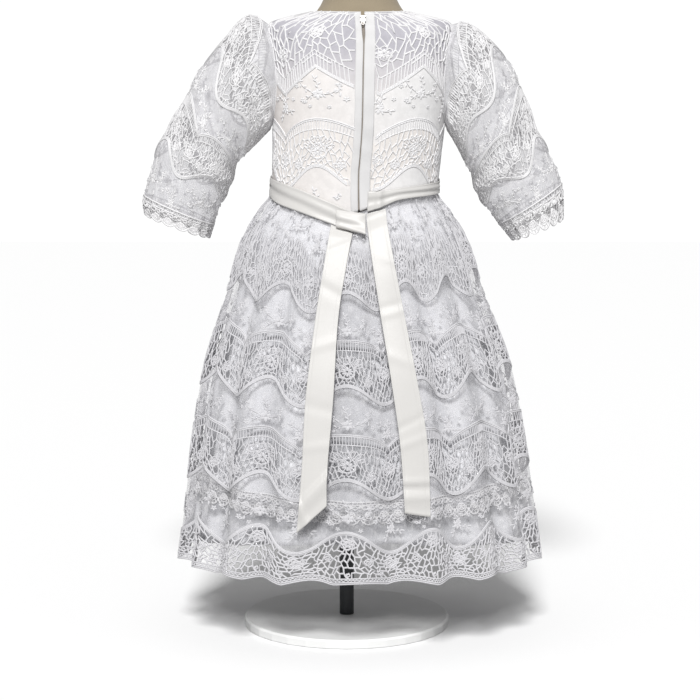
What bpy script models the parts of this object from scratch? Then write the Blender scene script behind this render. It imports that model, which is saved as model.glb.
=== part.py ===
"""Baby lace dress with a satin sash, on a limbless dress form with a pole and a round base.

The dress is seen from its back, which faces -Y. Angles go round the dress from the
centre back (0), over the right side (90, +X) to the centre front (180).
"""
import math

import bmesh
import bpy
from mathutils import Matrix, Vector

# Driving sizes, in metres
CLOTH = 0.0015            # lace mounted on its lining
FINE_CLOTH = 0.0012       # plain lining, satin and edgings
SEAM = 0.0003             # gap between pieces at a seam
DRESS_OFFSET = 0.0147     # the dress hangs this far to the right of its pole
HEM_Z = 0.0790            # lower edge of the lace skirt
SIDE_SEAM_Z = 0.4910      # waist seam at the side, from which the skirt's sizes are counted

POLE_RADIUS = 0.0080
BASE_RADIUS = 0.1150
BASE_HEIGHT = 0.0100
TORSO_BOTTOM = 0.3300

# Bodice rings. The waist is level 0, the underarm 3, the shoulder tip 6, the neckline 8.
# level, z at back, z at front, z at side, half width, back depth, front depth, squareness, centre x
BODICE = (
    (0, 0.4910, 0.4910, 0.4910, 0.0905, 0.0680, 0.0680, 2.30, -0.0060),
    (1, 0.5070, 0.5070, 0.5070, 0.0910, 0.0675, 0.0690, 2.30, -0.0048),
    (2, 0.5330, 0.5330, 0.5330, 0.0920, 0.0690, 0.0720, 2.30, -0.0030),
    (3, 0.5600, 0.5580, 0.5580, 0.0935, 0.0705, 0.0735, 2.35, -0.0015),
    (4, 0.5920, 0.5880, 0.6000, 0.0955, 0.0700, 0.0730, 2.40, 0.0),
    (5, 0.6250, 0.6150, 0.6400, 0.0985, 0.0655, 0.0690, 2.50, 0.0),
    (6, 0.6500, 0.6340, 0.6655, 0.0985, 0.0600, 0.0620, 2.50, 0.0),
    (7, 0.6650, 0.6430, 0.6735, 0.0760, 0.0550, 0.0560, 2.30, 0.0),
    (8, 0.6770, 0.6500, 0.6790, 0.0510, 0.0500, 0.0500, 2.00, 0.0),
)
BODICE_LEVELS = (0, 1, 2, 3, 3.25, 4, 5, 5.7, 6, 6.7, 7.4, 8)
UNDERARM, SHOULDER_TIP, NECKLINE = 3, 6, 8
ARMHOLE_HALF_ANGLE = 23.0

# Height of the waist seam round the dress: it dips at the centre back, under the knot
# angle, z
WAIST_SEAM = (
    (-180, 0.4920), (-90, 0.4910), (-60, 0.4850), (-35, 0.4745), (-13, 0.4655), (-6, 0.4630),
    (0, 0.4640), (7, 0.4692), (15, 0.4748), (28, 0.4810), (60, 0.4870), (90, 0.4910), (180, 0.4920),
)
WAIST_GAP = 0.0008        # the curved seam's pieces are this much more than a seam apart

# Centre line of the zip on the back
# z, x, half of the slit's width
ZIP_LINE = (
    (0.4600, -0.0015, 0.0019), (0.5040, -0.0019, 0.0015), (0.5275, 0.0000, 0.0013),
    (0.5600, 0.0020, 0.0013), (0.6100, 0.0029, 0.0013), (0.6470, 0.0036, 0.0014),
    (0.6750, 0.0024, 0.0019),
)
CHAIN_RECESS = 0.0004     # the teeth lie this far below the cloth's face

# Skirt rings, counted down from the waist seam; folds are measured from crest to base
# drop, centre x, half width, half depth, fold depth, squareness
SKIRT = (
    (0.000, -0.0060, 0.0905, 0.0680, 0.0006, 2.30),
    (0.012, -0.0060, 0.0925, 0.0700, 0.0008, 2.30),
    (0.026, -0.0062, 0.1050, 0.0810, 0.0040, 2.25),
    (0.060, -0.0060, 0.1250, 0.0980, 0.0060, 2.20),
    (0.115, -0.0050, 0.1430, 0.1130, 0.0080, 2.15),
    (0.193, -0.0027, 0.1703, 0.1330, 0.0110, 2.15),
    (0.283, -0.0015, 0.1870, 0.1470, 0.0130, 2.15),
    (0.340, -0.0004, 0.1945, 0.1530, 0.0140, 2.15),
    (0.412, -0.0003, 0.2040, 0.1600, 0.0150, 2.15),
)
SKIRT_DROPS = (0.0, 0.012, 0.026, 0.050, 0.085, 0.140, 0.210, 0.290)
HEM_ROWS = (0.050, 0.036, 0.022, 0.008, 0.0)     # heights above the hem, holes between
HOLE_ROWS = {9: 2, 10: 1}                       # row of cells: every how many cells a hole
GATHERS = 18                                     # small gathers sewn into the waist
GATHER_END = 0.100                               # drop at which they have run out
GATHER_SHARE = 0.8                               # their depth as a share of the fold depth
WAIST_RADIUS = 0.09                              # turns a seam's gap at the waist into an angle
SCALLOPS = 24
SCALLOP_RISE = 0.004

# Large folds of the skirt, with a valley on each side seam
# angle of the crest, share of the fold depth
FOLDS = (
    (-101, 0.9), (-79, 1.0), (-61, 0.8), (-42, 1.0), (-23, 0.9), (-1, 1.1), (21, 1.2), (41, 0.8), (60, 1.0),
    (79, 0.8), (101, 0.9), (121, 1.0), (141, 0.8), (161, 1.1), (181, 0.9), (201, 1.0), (220, 0.8), (240, 1.0),
)

# Lining inside the lace
# drop, distance inside the lace's crests
LINING_INSET = ((0.0, 0.0019), (0.026, 0.0060), (0.060, 0.0090), (0.115, 0.0115), (0.400, 0.0120))
LINING_DROPS = (0.0, 0.014, 0.032, 0.075, 0.150, 0.240)
LINING_FOLD_SHARE = 0.6
LINING_HEM_BACK, LINING_HEM_SIDE = 0.1200, 0.1040
EDGE_LACE_LOW_BACK, EDGE_LACE_LOW_SIDE = 0.1400, 0.1530
EDGE_LACE_HEIGHT = 0.0260
EDGE_LACE_SCALLOP = 0.75                         # share of that height between two scallops
LINING_COLUMNS = 48

# Sleeve rings, by the outer and the inner line of the sleeve and its depth
# share of the length, outer x, outer z, inner x, inner z, half depth
SLEEVES = {
    "left": (
        (0.00, -0.0990, 0.6660, -0.0945, 0.5580, 0.031),
        (0.05, -0.1120, 0.6750, -0.0985, 0.5520, 0.046),
        (0.11, -0.1250, 0.6750, -0.1040, 0.5460, 0.053),
        (0.22, -0.1460, 0.6530, -0.1120, 0.5380, 0.056),
        (0.33, -0.1670, 0.6270, -0.1220, 0.5290, 0.055),
        (0.44, -0.1830, 0.6040, -0.1320, 0.5180, 0.053),
        (0.55, -0.1970, 0.5750, -0.1385, 0.5040, 0.051),
        (0.67, -0.2120, 0.5490, -0.1445, 0.4890, 0.049),
        (0.79, -0.2250, 0.5220, -0.1510, 0.4740, 0.046),
        (0.91, -0.2335, 0.4920, -0.1585, 0.4560, 0.043),
        (1.00, -0.2365, 0.4740, -0.1630, 0.4450, 0.041),
        (1.17, -0.2345, 0.4590, -0.1665, 0.4345, 0.041),
    ),
    "right": (
        (0.00, 0.0990, 0.6640, 0.0930, 0.5580, 0.031),
        (0.05, 0.1100, 0.6680, 0.0965, 0.5505, 0.045),
        (0.11, 0.1220, 0.6650, 0.1005, 0.5430, 0.052),
        (0.22, 0.1400, 0.6510, 0.1070, 0.5320, 0.055),
        (0.33, 0.1560, 0.6330, 0.1135, 0.5200, 0.054),
        (0.44, 0.1710, 0.6110, 0.1195, 0.5070, 0.052),
        (0.55, 0.1810, 0.5840, 0.1245, 0.4945, 0.050),
        (0.67, 0.1925, 0.5520, 0.1300, 0.4820, 0.048),
        (0.79, 0.2060, 0.5280, 0.1375, 0.4690, 0.045),
        (0.91, 0.2165, 0.5060, 0.1480, 0.4560, 0.042),
        (1.00, 0.2210, 0.4840, 0.1570, 0.4460, 0.040),
        (1.17, 0.2215, 0.4540, 0.1690, 0.4320, 0.040),
    ),
}
SLEEVE_STATIONS = (0, 0.04, 0.10, 0.18, 0.27, 0.38, 0.49, 0.60, 0.71, 0.80, 0.90, 1.0)
SLEEVE_HOLE_ROWS = (3, 7, 9)
SLEEVE_GATHERS = 6
SLEEVE_GATHER_DEPTH = 0.0025
SLEEVE_GATHER_LEAST = 0.2                        # share of that depth at the underarm
SLEEVE_GATHER_START, SLEEVE_GATHER_FADE = 0.05, 0.5
SLEEVE_SEAM_TURN = 0.0067                        # half the gap between a sleeve's halves, in radians
HEAD_BLEND = 0.15                                # share over which the head leaves the armhole
CUFF_LACE_START, CUFF_LACE_END = 1.005, 1.15
CUFF_SCALLOP, CUFF_SCALLOPS = 0.05, 10
HOLE_BAR = 0.0018                                # half of the lace left between two holes

# Sash edges round the waist
# angle, lower z, upper z
SASH = (
    (-180, 0.4780, 0.5060), (-120, 0.4790, 0.5040), (-90, 0.4820, 0.5010), (-60, 0.4735, 0.4965),
    (-35, 0.4650, 0.4885), (-13, 0.4540, 0.4755), (-6, 0.4490, 0.4700), (0, 0.4450, 0.4660), (3, 0.4440, 0.4640),
)
SASH_RIGHT = (
    (6, 0.4660, 0.4875), (15, 0.4713, 0.4880), (28, 0.4785, 0.4910), (60, 0.4820, 0.4950),
    (90, 0.4835, 0.4975), (120, 0.4800, 0.5040), (180, 0.4780, 0.5060),
)
SASH_LIFT = 0.0012
# Tails, by the two edges: left x, left z, right x, right z
TAIL_LEFT = (
    (-0.0312, 0.4530, -0.0085, 0.4438), (-0.0380, 0.4150, -0.0150, 0.4100),
    (-0.0476, 0.3550, -0.0235, 0.3550), (-0.0576, 0.2740, -0.0286, 0.2740),
    (-0.0615, 0.2025, -0.0347, 0.2025), (-0.0670, 0.1350, -0.0355, 0.1640),
)
TAIL_RIGHT = (
    (0.0066, 0.4640, 0.0270, 0.4695), (0.0080, 0.4450, 0.0300, 0.4450),
    (0.0195, 0.3700, 0.0443, 0.3700), (0.0322, 0.2930, 0.0594, 0.2930),
    (0.0415, 0.2260, 0.0704, 0.2260), (0.0465, 0.1560, 0.0735, 0.1510),
)
# Knot strap over the crossing: x, lower z, upper z
KNOT = ((-0.0260, 0.4500, 0.4690), (0.0056, 0.4430, 0.4645))
KNOT_THICKNESS, KNOT_ROUND, KNOT_LIFT = 0.0055, 0.0018, 0.0034

# Dress form below the waist and above the neckline: z, half width, half depth
TORSO_HIP = (
    (TORSO_BOTTOM, 0.0800, 0.0580), (0.3480, 0.0850, 0.0630), (0.4000, 0.0850, 0.0630), (0.4400, 0.0830, 0.0605),
)
TORSO_LEVELS = (0.3, 1.2, 2.2, 3.2, 4.2, 5.0, 5.6, 6.1, 6.7, 7.4, 8.0)
TORSO_NECK = ((0.6860, 0.0430, 0.0405), (0.6960, 0.0385, 0.0375), (0.7120, 0.0365, 0.0360), (0.7290, 0.0360, 0.0355))
TORSO_TOP = ((0.7320, 0.0330, 0.0325), (0.7335, 0.0200, 0.0200))
TORSO_INSET_SHOULDER, TORSO_INSET_BODY, TORSO_INSET_WAIST = 0.0020, 0.0050, 0.0075

# Zip slider and its pull tab, in the slider's own upright frame
SLIDER_Z = 0.6690
SLIDER_SIZE = (0.0060, 0.0020, 0.0070)
SLIDER_LIFT = 0.0003
LUG_SIZE = (0.0009, 0.0016, 0.0022)
LUG_SINK = 0.0001                                # a lug starts this far inside the slider
PULL_SIZE = (0.0036, 0.0008, 0.0105)
PULL_OVERLAP = 0.0005                            # the tab reaches this far past its pivot
PULL_PIVOT_LIFT = 0.0009
PULL_PIVOT_RISE = 0.0020
PULL_HOLE_RADIUS = 0.0009


def read_row(table, at):
    """Columns of a table at a place between its rows, on a smooth curve."""
    last_row = len(table) - 1
    at = min(max(at, table[0][0]), table[last_row][0])
    i = 0
    while i < last_row - 1 and at > table[i + 1][0]:
        i += 1
    before, first, last, after = table[max(i - 1, 0)], table[i], table[i + 1], table[min(i + 2, last_row)]
    span = last[0] - first[0]
    t = (at - first[0]) / span
    values = []
    for c in range(1, len(first)):
        slope_in = (last[c] - before[c]) / (last[0] - before[0]) * span
        slope_out = (after[c] - first[c]) / (after[0] - first[0]) * span
        values.append(
            (2 * t**3 - 3 * t**2 + 1) * first[c] + (t**3 - 2 * t**2 + t) * slope_in
            + (3 * t**2 - 2 * t**3) * last[c] + (t**3 - t**2) * slope_out)
    return values


def mix(a, b, share):
    return a + (b - a) * share


def ease(t):
    t = min(max(t, 0.0), 1.0)
    return t * t * (3 - 2 * t)


def wrap(angle):
    """An angle in degrees, between -180 and 180."""
    return (angle + 180) % 360 - 180


def signed_power(value, power):
    return math.copysign(abs(value) ** power, value)


def ring_point(angle, half_width, back_depth, front_depth, squareness, centre_x, z):
    """Point on a rounded ring at an angle from the centre back."""
    s, c = math.sin(math.radians(angle)), math.cos(math.radians(angle))
    depth = back_depth if c > 0 else front_depth
    power = 2 / squareness
    return Vector((centre_x + half_width * signed_power(s, power), -depth * signed_power(c, power), z))


def ring_angle(x, half_width, squareness, centre_x):
    """Angle at which the back of a ring reaches a given x."""
    share = min(max((x - centre_x) / half_width, -1.0), 1.0)
    return math.degrees(math.asin(signed_power(share, squareness / 2)))


def seam_height(angle):
    return read_row(WAIST_SEAM, wrap(angle))[0]


def bodice_height(angle, level):
    z_back, z_front, z_side = read_row(BODICE, level)[:3]
    s, c = math.sin(math.radians(angle)), math.cos(math.radians(angle))
    z = z_side * s * s + (z_back if c > 0 else z_front) * c * c
    if level < 1:
        z += (seam_height(angle) + SEAM / 2 + WAIST_GAP - BODICE[0][3]) * (1 - level)
    return z


def bodice_point(angle, level, inset=0.0):
    half_width, back, front, squareness, centre_x = read_row(BODICE, level)[3:]
    z = bodice_height(angle, level)
    return ring_point(angle, half_width - inset, back - inset, front - inset, squareness, centre_x, z)


def zip_angle(level, side):
    """Angle of one edge of the zip's slit: side is -1 at its left, 1 at its right, 0 in the middle."""
    half_width, _, _, squareness, centre_x = read_row(BODICE, level)[3:]
    x, half_slit = read_row(ZIP_LINE, bodice_height(0, level))
    return ring_angle(x + side * half_slit, half_width, squareness, centre_x)


def armhole_half_angle(level):
    middle, half = (SHOULDER_TIP + UNDERARM) / 2, (SHOULDER_TIP - UNDERARM) / 2
    across = min(abs(level - middle) / half, 1.0)
    return ARMHOLE_HALF_ANGLE * math.sqrt(1 - across * across)


def seam_angle(level):
    """Half a seam's gap at the side, as an angle."""
    return math.degrees(SEAM / read_row(BODICE, level)[3])


def fold_wave(angle):
    """1 on the crest of a large fold and 0 between two crests, times the fold's share."""
    crests = [(a, share) for a, share in FOLDS]
    crests.append((crests[0][0] + 360, crests[0][1]))
    angle = (angle - crests[0][0]) % 360 + crests[0][0]
    for (a0, s0), (a1, s1) in zip(crests, crests[1:]):
        if angle <= a1:
            t = (angle - a0) / (a1 - a0)
            return mix(s0, s1, t), (1 + math.cos(2 * math.pi * t)) / 2
    return crests[-1][1], 1.0


def skirt_drop(angle, z):
    """Drop below the waist seam, stretched so that every angle reaches the same hem."""
    top = seam_height(angle)
    return (top - z) / (top - HEM_Z) * (SIDE_SEAM_Z - HEM_Z)


def skirt_height(angle, drop):
    top = seam_height(angle)
    return top - SEAM / 2 - drop / (SIDE_SEAM_Z - HEM_Z) * (top - SEAM / 2 - HEM_Z)


def skirt_point(angle, drop, fold_share=1.0, inset=0.0):
    """Point of the skirt. With no folds it lies on the envelope of the crests."""
    centre_x, half_width, half_depth, depth, squareness = read_row(SKIRT, drop)
    share, wave = fold_wave(angle)
    large = share * (wave - 1)
    small = GATHER_SHARE * (math.cos(math.radians(angle * GATHERS)) - 1) / 2
    back = depth * fold_share * mix(small, large, ease(drop / GATHER_END)) - inset
    return ring_point(angle, half_width + back, half_depth + back, half_depth + back,
                      squareness, centre_x, skirt_height(angle, drop))


def lining_point(angle, drop, lift=0.0):
    inset = read_row(LINING_INSET, drop)[0]
    return skirt_point(angle, drop, LINING_FOLD_SHARE, inset - lift)


def on_dress(angle, z, lift):
    """Point on the outside of the bodice or of the skirt's crests, moved out."""
    seam = seam_height(angle)
    if z >= seam:
        level = (z - seam) / (BODICE[1][1] - seam)
        point = bodice_point(angle, level, -lift)
    else:
        point = skirt_point(angle, skirt_drop(angle, z), 0.0, -lift)
    point.z = z
    return point


def armhole_edge(side, turn):
    """Point of the armhole's edge: turn is 0 at the shoulder tip, 180 at the underarm, by the back."""
    level = mix(UNDERARM, SHOULDER_TIP, (1 + math.cos(turn)) / 2)
    angle = 90 - ARMHOLE_HALF_ANGLE * math.sin(turn)
    point = bodice_point(side * angle, level)
    point.x += side * 1.5 * SEAM
    return point


def sleeve_ring(side, turn, share):
    """Point of a sleeve's plain ring, and its way out from the ring's centre."""
    outer_x, outer_z, inner_x, inner_z, half_depth = read_row(SLEEVES["right" if side > 0 else "left"], share)
    outer, inner = Vector((outer_x, 0, outer_z)), Vector((inner_x, 0, inner_z))
    reach = Vector((0, -half_depth * math.sin(turn), 0)) + (outer - inner) / 2 * math.cos(turn)
    return (outer + inner) / 2 + reach, reach


def sleeve_point(side, turn, share, gathered=True):
    """Point of a sleeve: share runs from the armhole to the cuff, turn as on the armhole."""
    point, reach = sleeve_ring(side, turn, share)
    if share < HEAD_BLEND:
        leave = armhole_edge(side, turn) - sleeve_ring(side, turn, 0)[0]
        point = point + leave * (1 - share / HEAD_BLEND) ** 2
    if gathered:
        fade = ease(share / SLEEVE_GATHER_START) * (1 - ease(share / SLEEVE_GATHER_FADE))
        wave = -math.cos(turn * SLEEVE_GATHERS) * mix(SLEEVE_GATHER_LEAST, 1, (1 + math.cos(turn)) / 2)
        point = point + reach.normalized() * SLEEVE_GATHER_DEPTH * fade * wave
    return point


def make_material(name, colour, roughness, metallic=0.0):
    material = bpy.data.materials.new(name)
    material.use_nodes = True
    shader = material.node_tree.nodes["Principled BSDF"]
    shader.inputs["Base Color"].default_value = (*colour, 1)
    shader.inputs["Roughness"].default_value = roughness
    shader.inputs["Metallic"].default_value = metallic
    material.diffuse_color = (*colour, 1)
    return material


def add_object(name, mesh, material, parent):
    obj = bpy.data.objects.new(name, mesh)
    mesh.materials.append(material)
    collection.objects.link(obj)
    obj.parent = parent
    return obj


def make_cloth(name, columns, rows, place, material, wall=CLOTH, holes=None, closed=False, flipped=False,
               parent=None):
    """A grid bent to a surface by place(u, w), cut where holes(column, row) says, with its wall inside."""
    bm = bmesh.new()
    bmesh.ops.create_grid(bm, x_segments=columns, y_segments=rows, size=0.5)
    if holes:
        cut = []
        for face in bm.faces:
            middle = face.calc_center_median()
            if holes(int((middle.x + 0.5) * columns), int((middle.y + 0.5) * rows)):
                cut.append(face)
    for vertex in bm.verts:
        vertex.co = place(vertex.co.x + 0.5, vertex.co.y + 0.5)
    if closed:
        bmesh.ops.remove_doubles(bm, verts=bm.verts, dist=0.00001)
    if holes:
        bmesh.ops.inset_individual(bm, faces=cut, thickness=HOLE_BAR, use_even_offset=False)
        bmesh.ops.delete(bm, geom=cut, context="FACES")
    if flipped:
        bmesh.ops.reverse_faces(bm, faces=bm.faces)
    mesh = bpy.data.meshes.new(name)
    bm.to_mesh(mesh)
    bm.free()
    mesh.shade_smooth()
    obj = add_object(name, mesh, material, parent or dress)
    solidify = obj.modifiers.new("Wall", "SOLIDIFY")
    solidify.thickness = wall
    solidify.offset = -1
    return obj


def make_box(name, size, material, parent, location):
    bm = bmesh.new()
    bmesh.ops.create_cube(bm, size=1)
    bmesh.ops.scale(bm, vec=size, verts=bm.verts)
    mesh = bpy.data.meshes.new(name)
    bm.to_mesh(mesh)
    bm.free()
    obj = add_object(name, mesh, material, parent)
    obj.location = location
    return obj


def make_bodice():
    rows = len(BODICE_LEVELS) - 1

    def back(side):
        def place(u, w):
            level = BODICE_LEVELS[round(w * rows)]
            slit = zip_angle(level, side)
            edge = side * (90 - max(armhole_half_angle(level), seam_angle(level)))
            share = u if side > 0 else 1 - u
            return bodice_point(mix(slit, edge, share), level)
        return place

    def front(u, w):
        level = BODICE_LEVELS[round(w * rows)]
        half = 90 - max(armhole_half_angle(level), seam_angle(level))
        return bodice_point(180 + half * (2 * u - 1), level)

    make_cloth("bodice_back_left", 12, rows, back(-1), lace_white)
    make_cloth("bodice_back_right", 12, rows, back(1), lace_white)
    make_cloth("bodice_front", 18, rows, front, lace_white)


def make_zip():
    """The closed chain between the two backs, the slider at its top, and the pull tab."""
    def chain(u, w):
        level = mix(0.05, NECKLINE - 0.35, w)
        half_width, _, _, squareness, centre_x = read_row(BODICE, level)[3:]
        x, half_slit = read_row(ZIP_LINE, bodice_height(0, level))
        x += (half_slit - SEAM) * (2 * u - 1)
        return bodice_point(ring_angle(x, half_width, squareness, centre_x), level, CHAIN_RECESS)

    make_cloth("zip_chain", 2, 20, chain, zip_plastic, wall=FINE_CLOTH)

    low, high = bodice_point(0, 7.0), bodice_point(0, NECKLINE)
    lean = math.atan2(high.y - low.y, high.z - low.z)
    level = 7 + (SLIDER_Z - low.z) / (high.z - low.z)
    seat = bodice_point(zip_angle(level, 0), level)
    head = bpy.data.objects.new("zip_head", None)
    collection.objects.link(head)
    head.parent = dress
    head.location = seat
    head.rotation_euler = (-lean, 0, 0)

    face = -SLIDER_LIFT - SLIDER_SIZE[1]
    slider = make_box("zip_slider", SLIDER_SIZE, zip_metal, head, (0, face + SLIDER_SIZE[1] / 2, 0))
    for side in (-1, 1):
        x = side * (SLIDER_SIZE[0] - LUG_SIZE[0]) / 2
        lug = make_box("lug_cutter", LUG_SIZE, zip_metal, head,
                       (x, face - LUG_SIZE[1] / 2 + LUG_SINK, PULL_PIVOT_RISE))
        add_cutter(slider, lug, "UNION")

    hinge = bpy.data.objects.new("zip_hinge", None)
    collection.objects.link(hinge)
    hinge.parent = head
    hinge.location = (0, face - PULL_PIVOT_LIFT, PULL_PIVOT_RISE)
    outline = bpy.data.curves.new("zip_pull", "CURVE")
    outline.dimensions = "2D"
    outline.fill_mode = "BOTH"
    outline.extrude = PULL_SIZE[1] / 2
    half, length, top = PULL_SIZE[0] / 2, PULL_SIZE[2], PULL_OVERLAP
    points = [(-half, top), (half, top)]
    points += [(half * math.cos(t), half - length + half * math.sin(t) + top)
               for t in (-math.pi * k / 8 for k in range(9))]
    add_outline(outline, points)
    add_outline(outline, [(PULL_HOLE_RADIUS * math.sin(math.pi * k / 5),
                           half - length + top + PULL_HOLE_RADIUS * math.cos(math.pi * k / 5))
                          for k in range(10)])
    flat = bpy.data.objects.new("pull_outline", outline)
    collection.objects.link(flat)
    mesh = bpy.data.meshes.new_from_object(flat.evaluated_get(bpy.context.evaluated_depsgraph_get()))
    bpy.data.objects.remove(flat)
    bm = bmesh.new()
    bm.from_mesh(mesh)
    bmesh.ops.remove_doubles(bm, verts=bm.verts, dist=0.00001)
    bmesh.ops.rotate(bm, cent=(0, 0, 0), matrix=Matrix.Rotation(math.pi / 2, 3, "X"), verts=bm.verts)
    bmesh.ops.recalc_face_normals(bm, faces=bm.faces)
    bm.to_mesh(mesh)
    bm.free()
    add_object("zip_pull", mesh, zip_metal, hinge)


def add_outline(curve, points):
    spline = curve.splines.new("POLY")
    spline.points.add(len(points) - 1)
    for point, (x, y) in zip(spline.points, points):
        point.co = (x, y, 0, 1)
    spline.use_cyclic_u = True


def add_cutter(obj, cutter, operation):
    collection.objects.unlink(cutter)
    cutters.objects.link(cutter)
    cutter.hide_render = True
    cutter.display_type = "WIRE"
    cut = obj.modifiers.new("Joined", "BOOLEAN")
    cut.operation = operation
    cut.object = cutter


def make_sleeve(side):
    word = "right" if side > 0 else "left"
    rows = len(SLEEVE_STATIONS) - 1

    def half(front):
        start = math.pi if front else 0

        def place(u, w):
            turn = start + mix(SLEEVE_SEAM_TURN, math.pi - SLEEVE_SEAM_TURN, u)
            return sleeve_point(side, turn, SLEEVE_STATIONS[round(w * rows)])
        return place

    def holes(column, row):
        return row in SLEEVE_HOLE_ROWS and 1 <= column <= 8

    for front in (False, True):
        name = f"sleeve_{word}_{'front' if front else 'back'}"
        make_cloth(name, 10, rows, half(front), lace_white, holes=holes, flipped=side < 0)

    def cuff(u, w):
        turn = 2 * math.pi * u
        end = CUFF_LACE_END + CUFF_SCALLOP / 2 * math.cos(turn * CUFF_SCALLOPS)
        return sleeve_point(side, turn, mix(CUFF_LACE_START, end, w), False)

    make_cloth(f"cuff_lace_{word}", 20, 2, cuff, lace_white, wall=FINE_CLOTH, closed=True, flipped=side < 0)


def make_skirt():
    rows = len(SKIRT_DROPS) + len(HEM_ROWS) - 1
    length = SIDE_SEAM_Z - HEM_Z
    drops = list(SKIRT_DROPS) + [length - height for height in HEM_ROWS]

    def half(middle):
        def place(u, w):
            row = round((1 - w) * rows)
            drop = drops[row]
            edge = 90 - math.degrees(SEAM / read_row(SKIRT, drop)[1])
            angle = middle + edge * (2 * u - 1)
            point = skirt_point(angle, drop)
            if row == rows:
                point.z += SCALLOP_RISE * abs(math.cos(math.radians(angle * SCALLOPS / 2)))
            return point
        return place

    def holes(column, row):
        row = rows - 1 - row
        return row in HOLE_ROWS and column % HOLE_ROWS[row] == 0

    make_cloth("skirt_lace_back", 36, rows, half(0), lace_white, holes=holes)
    make_cloth("skirt_lace_front", 36, rows, half(180), lace_white, holes=holes)


def by_angle(angle, back, side):
    """A height that goes from its back and front value to its side value."""
    return mix(back, side, math.sin(math.radians(angle)) ** 2)


def make_lining():
    def drops_at(angle):
        marks = [by_angle(angle, EDGE_LACE_LOW_BACK, EDGE_LACE_LOW_SIDE) + EDGE_LACE_HEIGHT,
                 by_angle(angle, EDGE_LACE_LOW_BACK, EDGE_LACE_LOW_SIDE),
                 by_angle(angle, LINING_HEM_BACK, LINING_HEM_SIDE)]
        return list(LINING_DROPS) + [skirt_drop(angle, z) for z in marks]

    rows = len(LINING_DROPS) + 2

    def lining(u, w):
        angle = 360 * u
        return lining_point(angle, drops_at(angle)[round((1 - w) * rows)])

    make_cloth("skirt_lining", LINING_COLUMNS, rows, lining, lining_cloth, wall=FINE_CLOTH, closed=True)

    def edge_lace(u, w):
        angle = 360 * u
        drops = drops_at(angle)
        high, low = drops[-3], drops[-2]
        if round(u * LINING_COLUMNS) % 2 == 0:
            low = mix(high, low, EDGE_LACE_SCALLOP)
        return lining_point(angle, mix(low, high, w), SEAM + FINE_CLOTH)

    make_cloth("lining_lace_edge", LINING_COLUMNS, 1, edge_lace, lace_white, wall=FINE_CLOTH, closed=True)


def make_sash():
    lift = FINE_CLOTH + SASH_LIFT

    def band(table, start, end):
        def place(u, w):
            angle = mix(start, end, u)
            low, high = read_row(table, angle)
            return on_dress(angle, mix(low, high, w), lift)
        return place

    gap = math.degrees(SEAM / WAIST_RADIUS)
    front_rows = SASH_RIGHT + tuple((row[0] + 360, row[1], row[2]) for row in SASH[1:3])
    make_cloth("sash_front", 22, 2, band(front_rows, 90 + gap, 270 - gap), satin, wall=FINE_CLOTH)
    make_cloth("sash_wing_left", 16, 2, band(SASH, -90 + gap, 2), satin, wall=FINE_CLOTH)
    make_cloth("sash_wing_right", 16, 2, band(SASH_RIGHT, 6.2, 90 - gap), satin, wall=FINE_CLOTH)

    def tail(table):
        numbered = tuple((k, *row) for k, row in enumerate(table))

        def place(u, w):
            left_x, left_z, right_x, right_z = read_row(numbered, (1 - w) * (len(table) - 1))
            x, z = mix(left_x, right_x, u), mix(left_z, right_z, u)
            centre_x, half_width, _, _, squareness = read_row(SKIRT, skirt_drop(0, z))
            angle = ring_angle(x, half_width, squareness, centre_x)
            point = on_dress(angle, min(z, seam_height(angle) - SEAM), lift)
            return Vector((x, point.y, z))
        return place

    make_cloth("sash_tail_left", 2, 12, tail(TAIL_LEFT), satin, wall=FINE_CLOTH)
    make_cloth("sash_tail_right", 2, 12, tail(TAIL_RIGHT), satin, wall=FINE_CLOTH)

    def strap(u, w):
        x = mix(KNOT[0][0], KNOT[1][0], u)
        z = mix(mix(KNOT[0][1], KNOT[1][1], u), mix(KNOT[0][2], KNOT[1][2], u), w)
        angle = ring_angle(x, BODICE[0][4], BODICE[0][7], BODICE[0][8])
        point = on_dress(angle, z, lift + KNOT_LIFT + KNOT_THICKNESS)
        return Vector((x, point.y, z))

    knot = make_cloth("sash_knot", 4, 3, strap, satin, wall=KNOT_THICKNESS)
    rounded = knot.modifiers.new("Rounded", "BEVEL")
    rounded.width = KNOT_ROUND
    rounded.segments = 2
    rounded.limit_method = "ANGLE"
    rounded.angle_limit = math.radians(60)


def make_form():
    """Limbless torso with shoulders and neck, from the bodice's own rings, set inside them."""
    rings = []
    columns = 28
    angles = [360 * k / columns for k in range(columns)]
    centre_x = BODICE[0][8]
    for z, half_width, half_depth in TORSO_HIP:
        rings.append([ring_point(a, half_width, half_depth, half_depth, 2.3, centre_x, z) for a in angles])
    for level in TORSO_LEVELS:
        ring = []
        for a in angles:
            body = mix(TORSO_INSET_WAIST, TORSO_INSET_BODY, ease(level / 2))
            inset = mix(body, TORSO_INSET_SHOULDER, ease(level - 5.5) * abs(math.sin(math.radians(a))))
            point = bodice_point(a, level, inset)
            point.z -= ease(level - 5) * TORSO_INSET_SHOULDER
            ring.append(point)
        rings.append(ring)
    for z, half_width, half_depth in TORSO_NECK + TORSO_TOP:
        rings.append([ring_point(a, half_width, half_depth, half_depth, 2.0, 0, z) for a in angles])
    bm = bmesh.new()
    rows = [[bm.verts.new(point) for point in ring] for ring in rings]
    for lower, upper in zip(rows, rows[1:]):
        for k in range(columns):
            j = (k + 1) % columns
            bm.faces.new((lower[k], lower[j], upper[j], upper[k]))
    bm.faces.new(list(reversed(rows[0])))
    bm.faces.new(rows[-1])
    mesh = bpy.data.meshes.new("form_torso")
    bm.to_mesh(mesh)
    bm.free()
    mesh.shade_smooth()
    add_object("form_torso", mesh, form_cover, dress)


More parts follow.
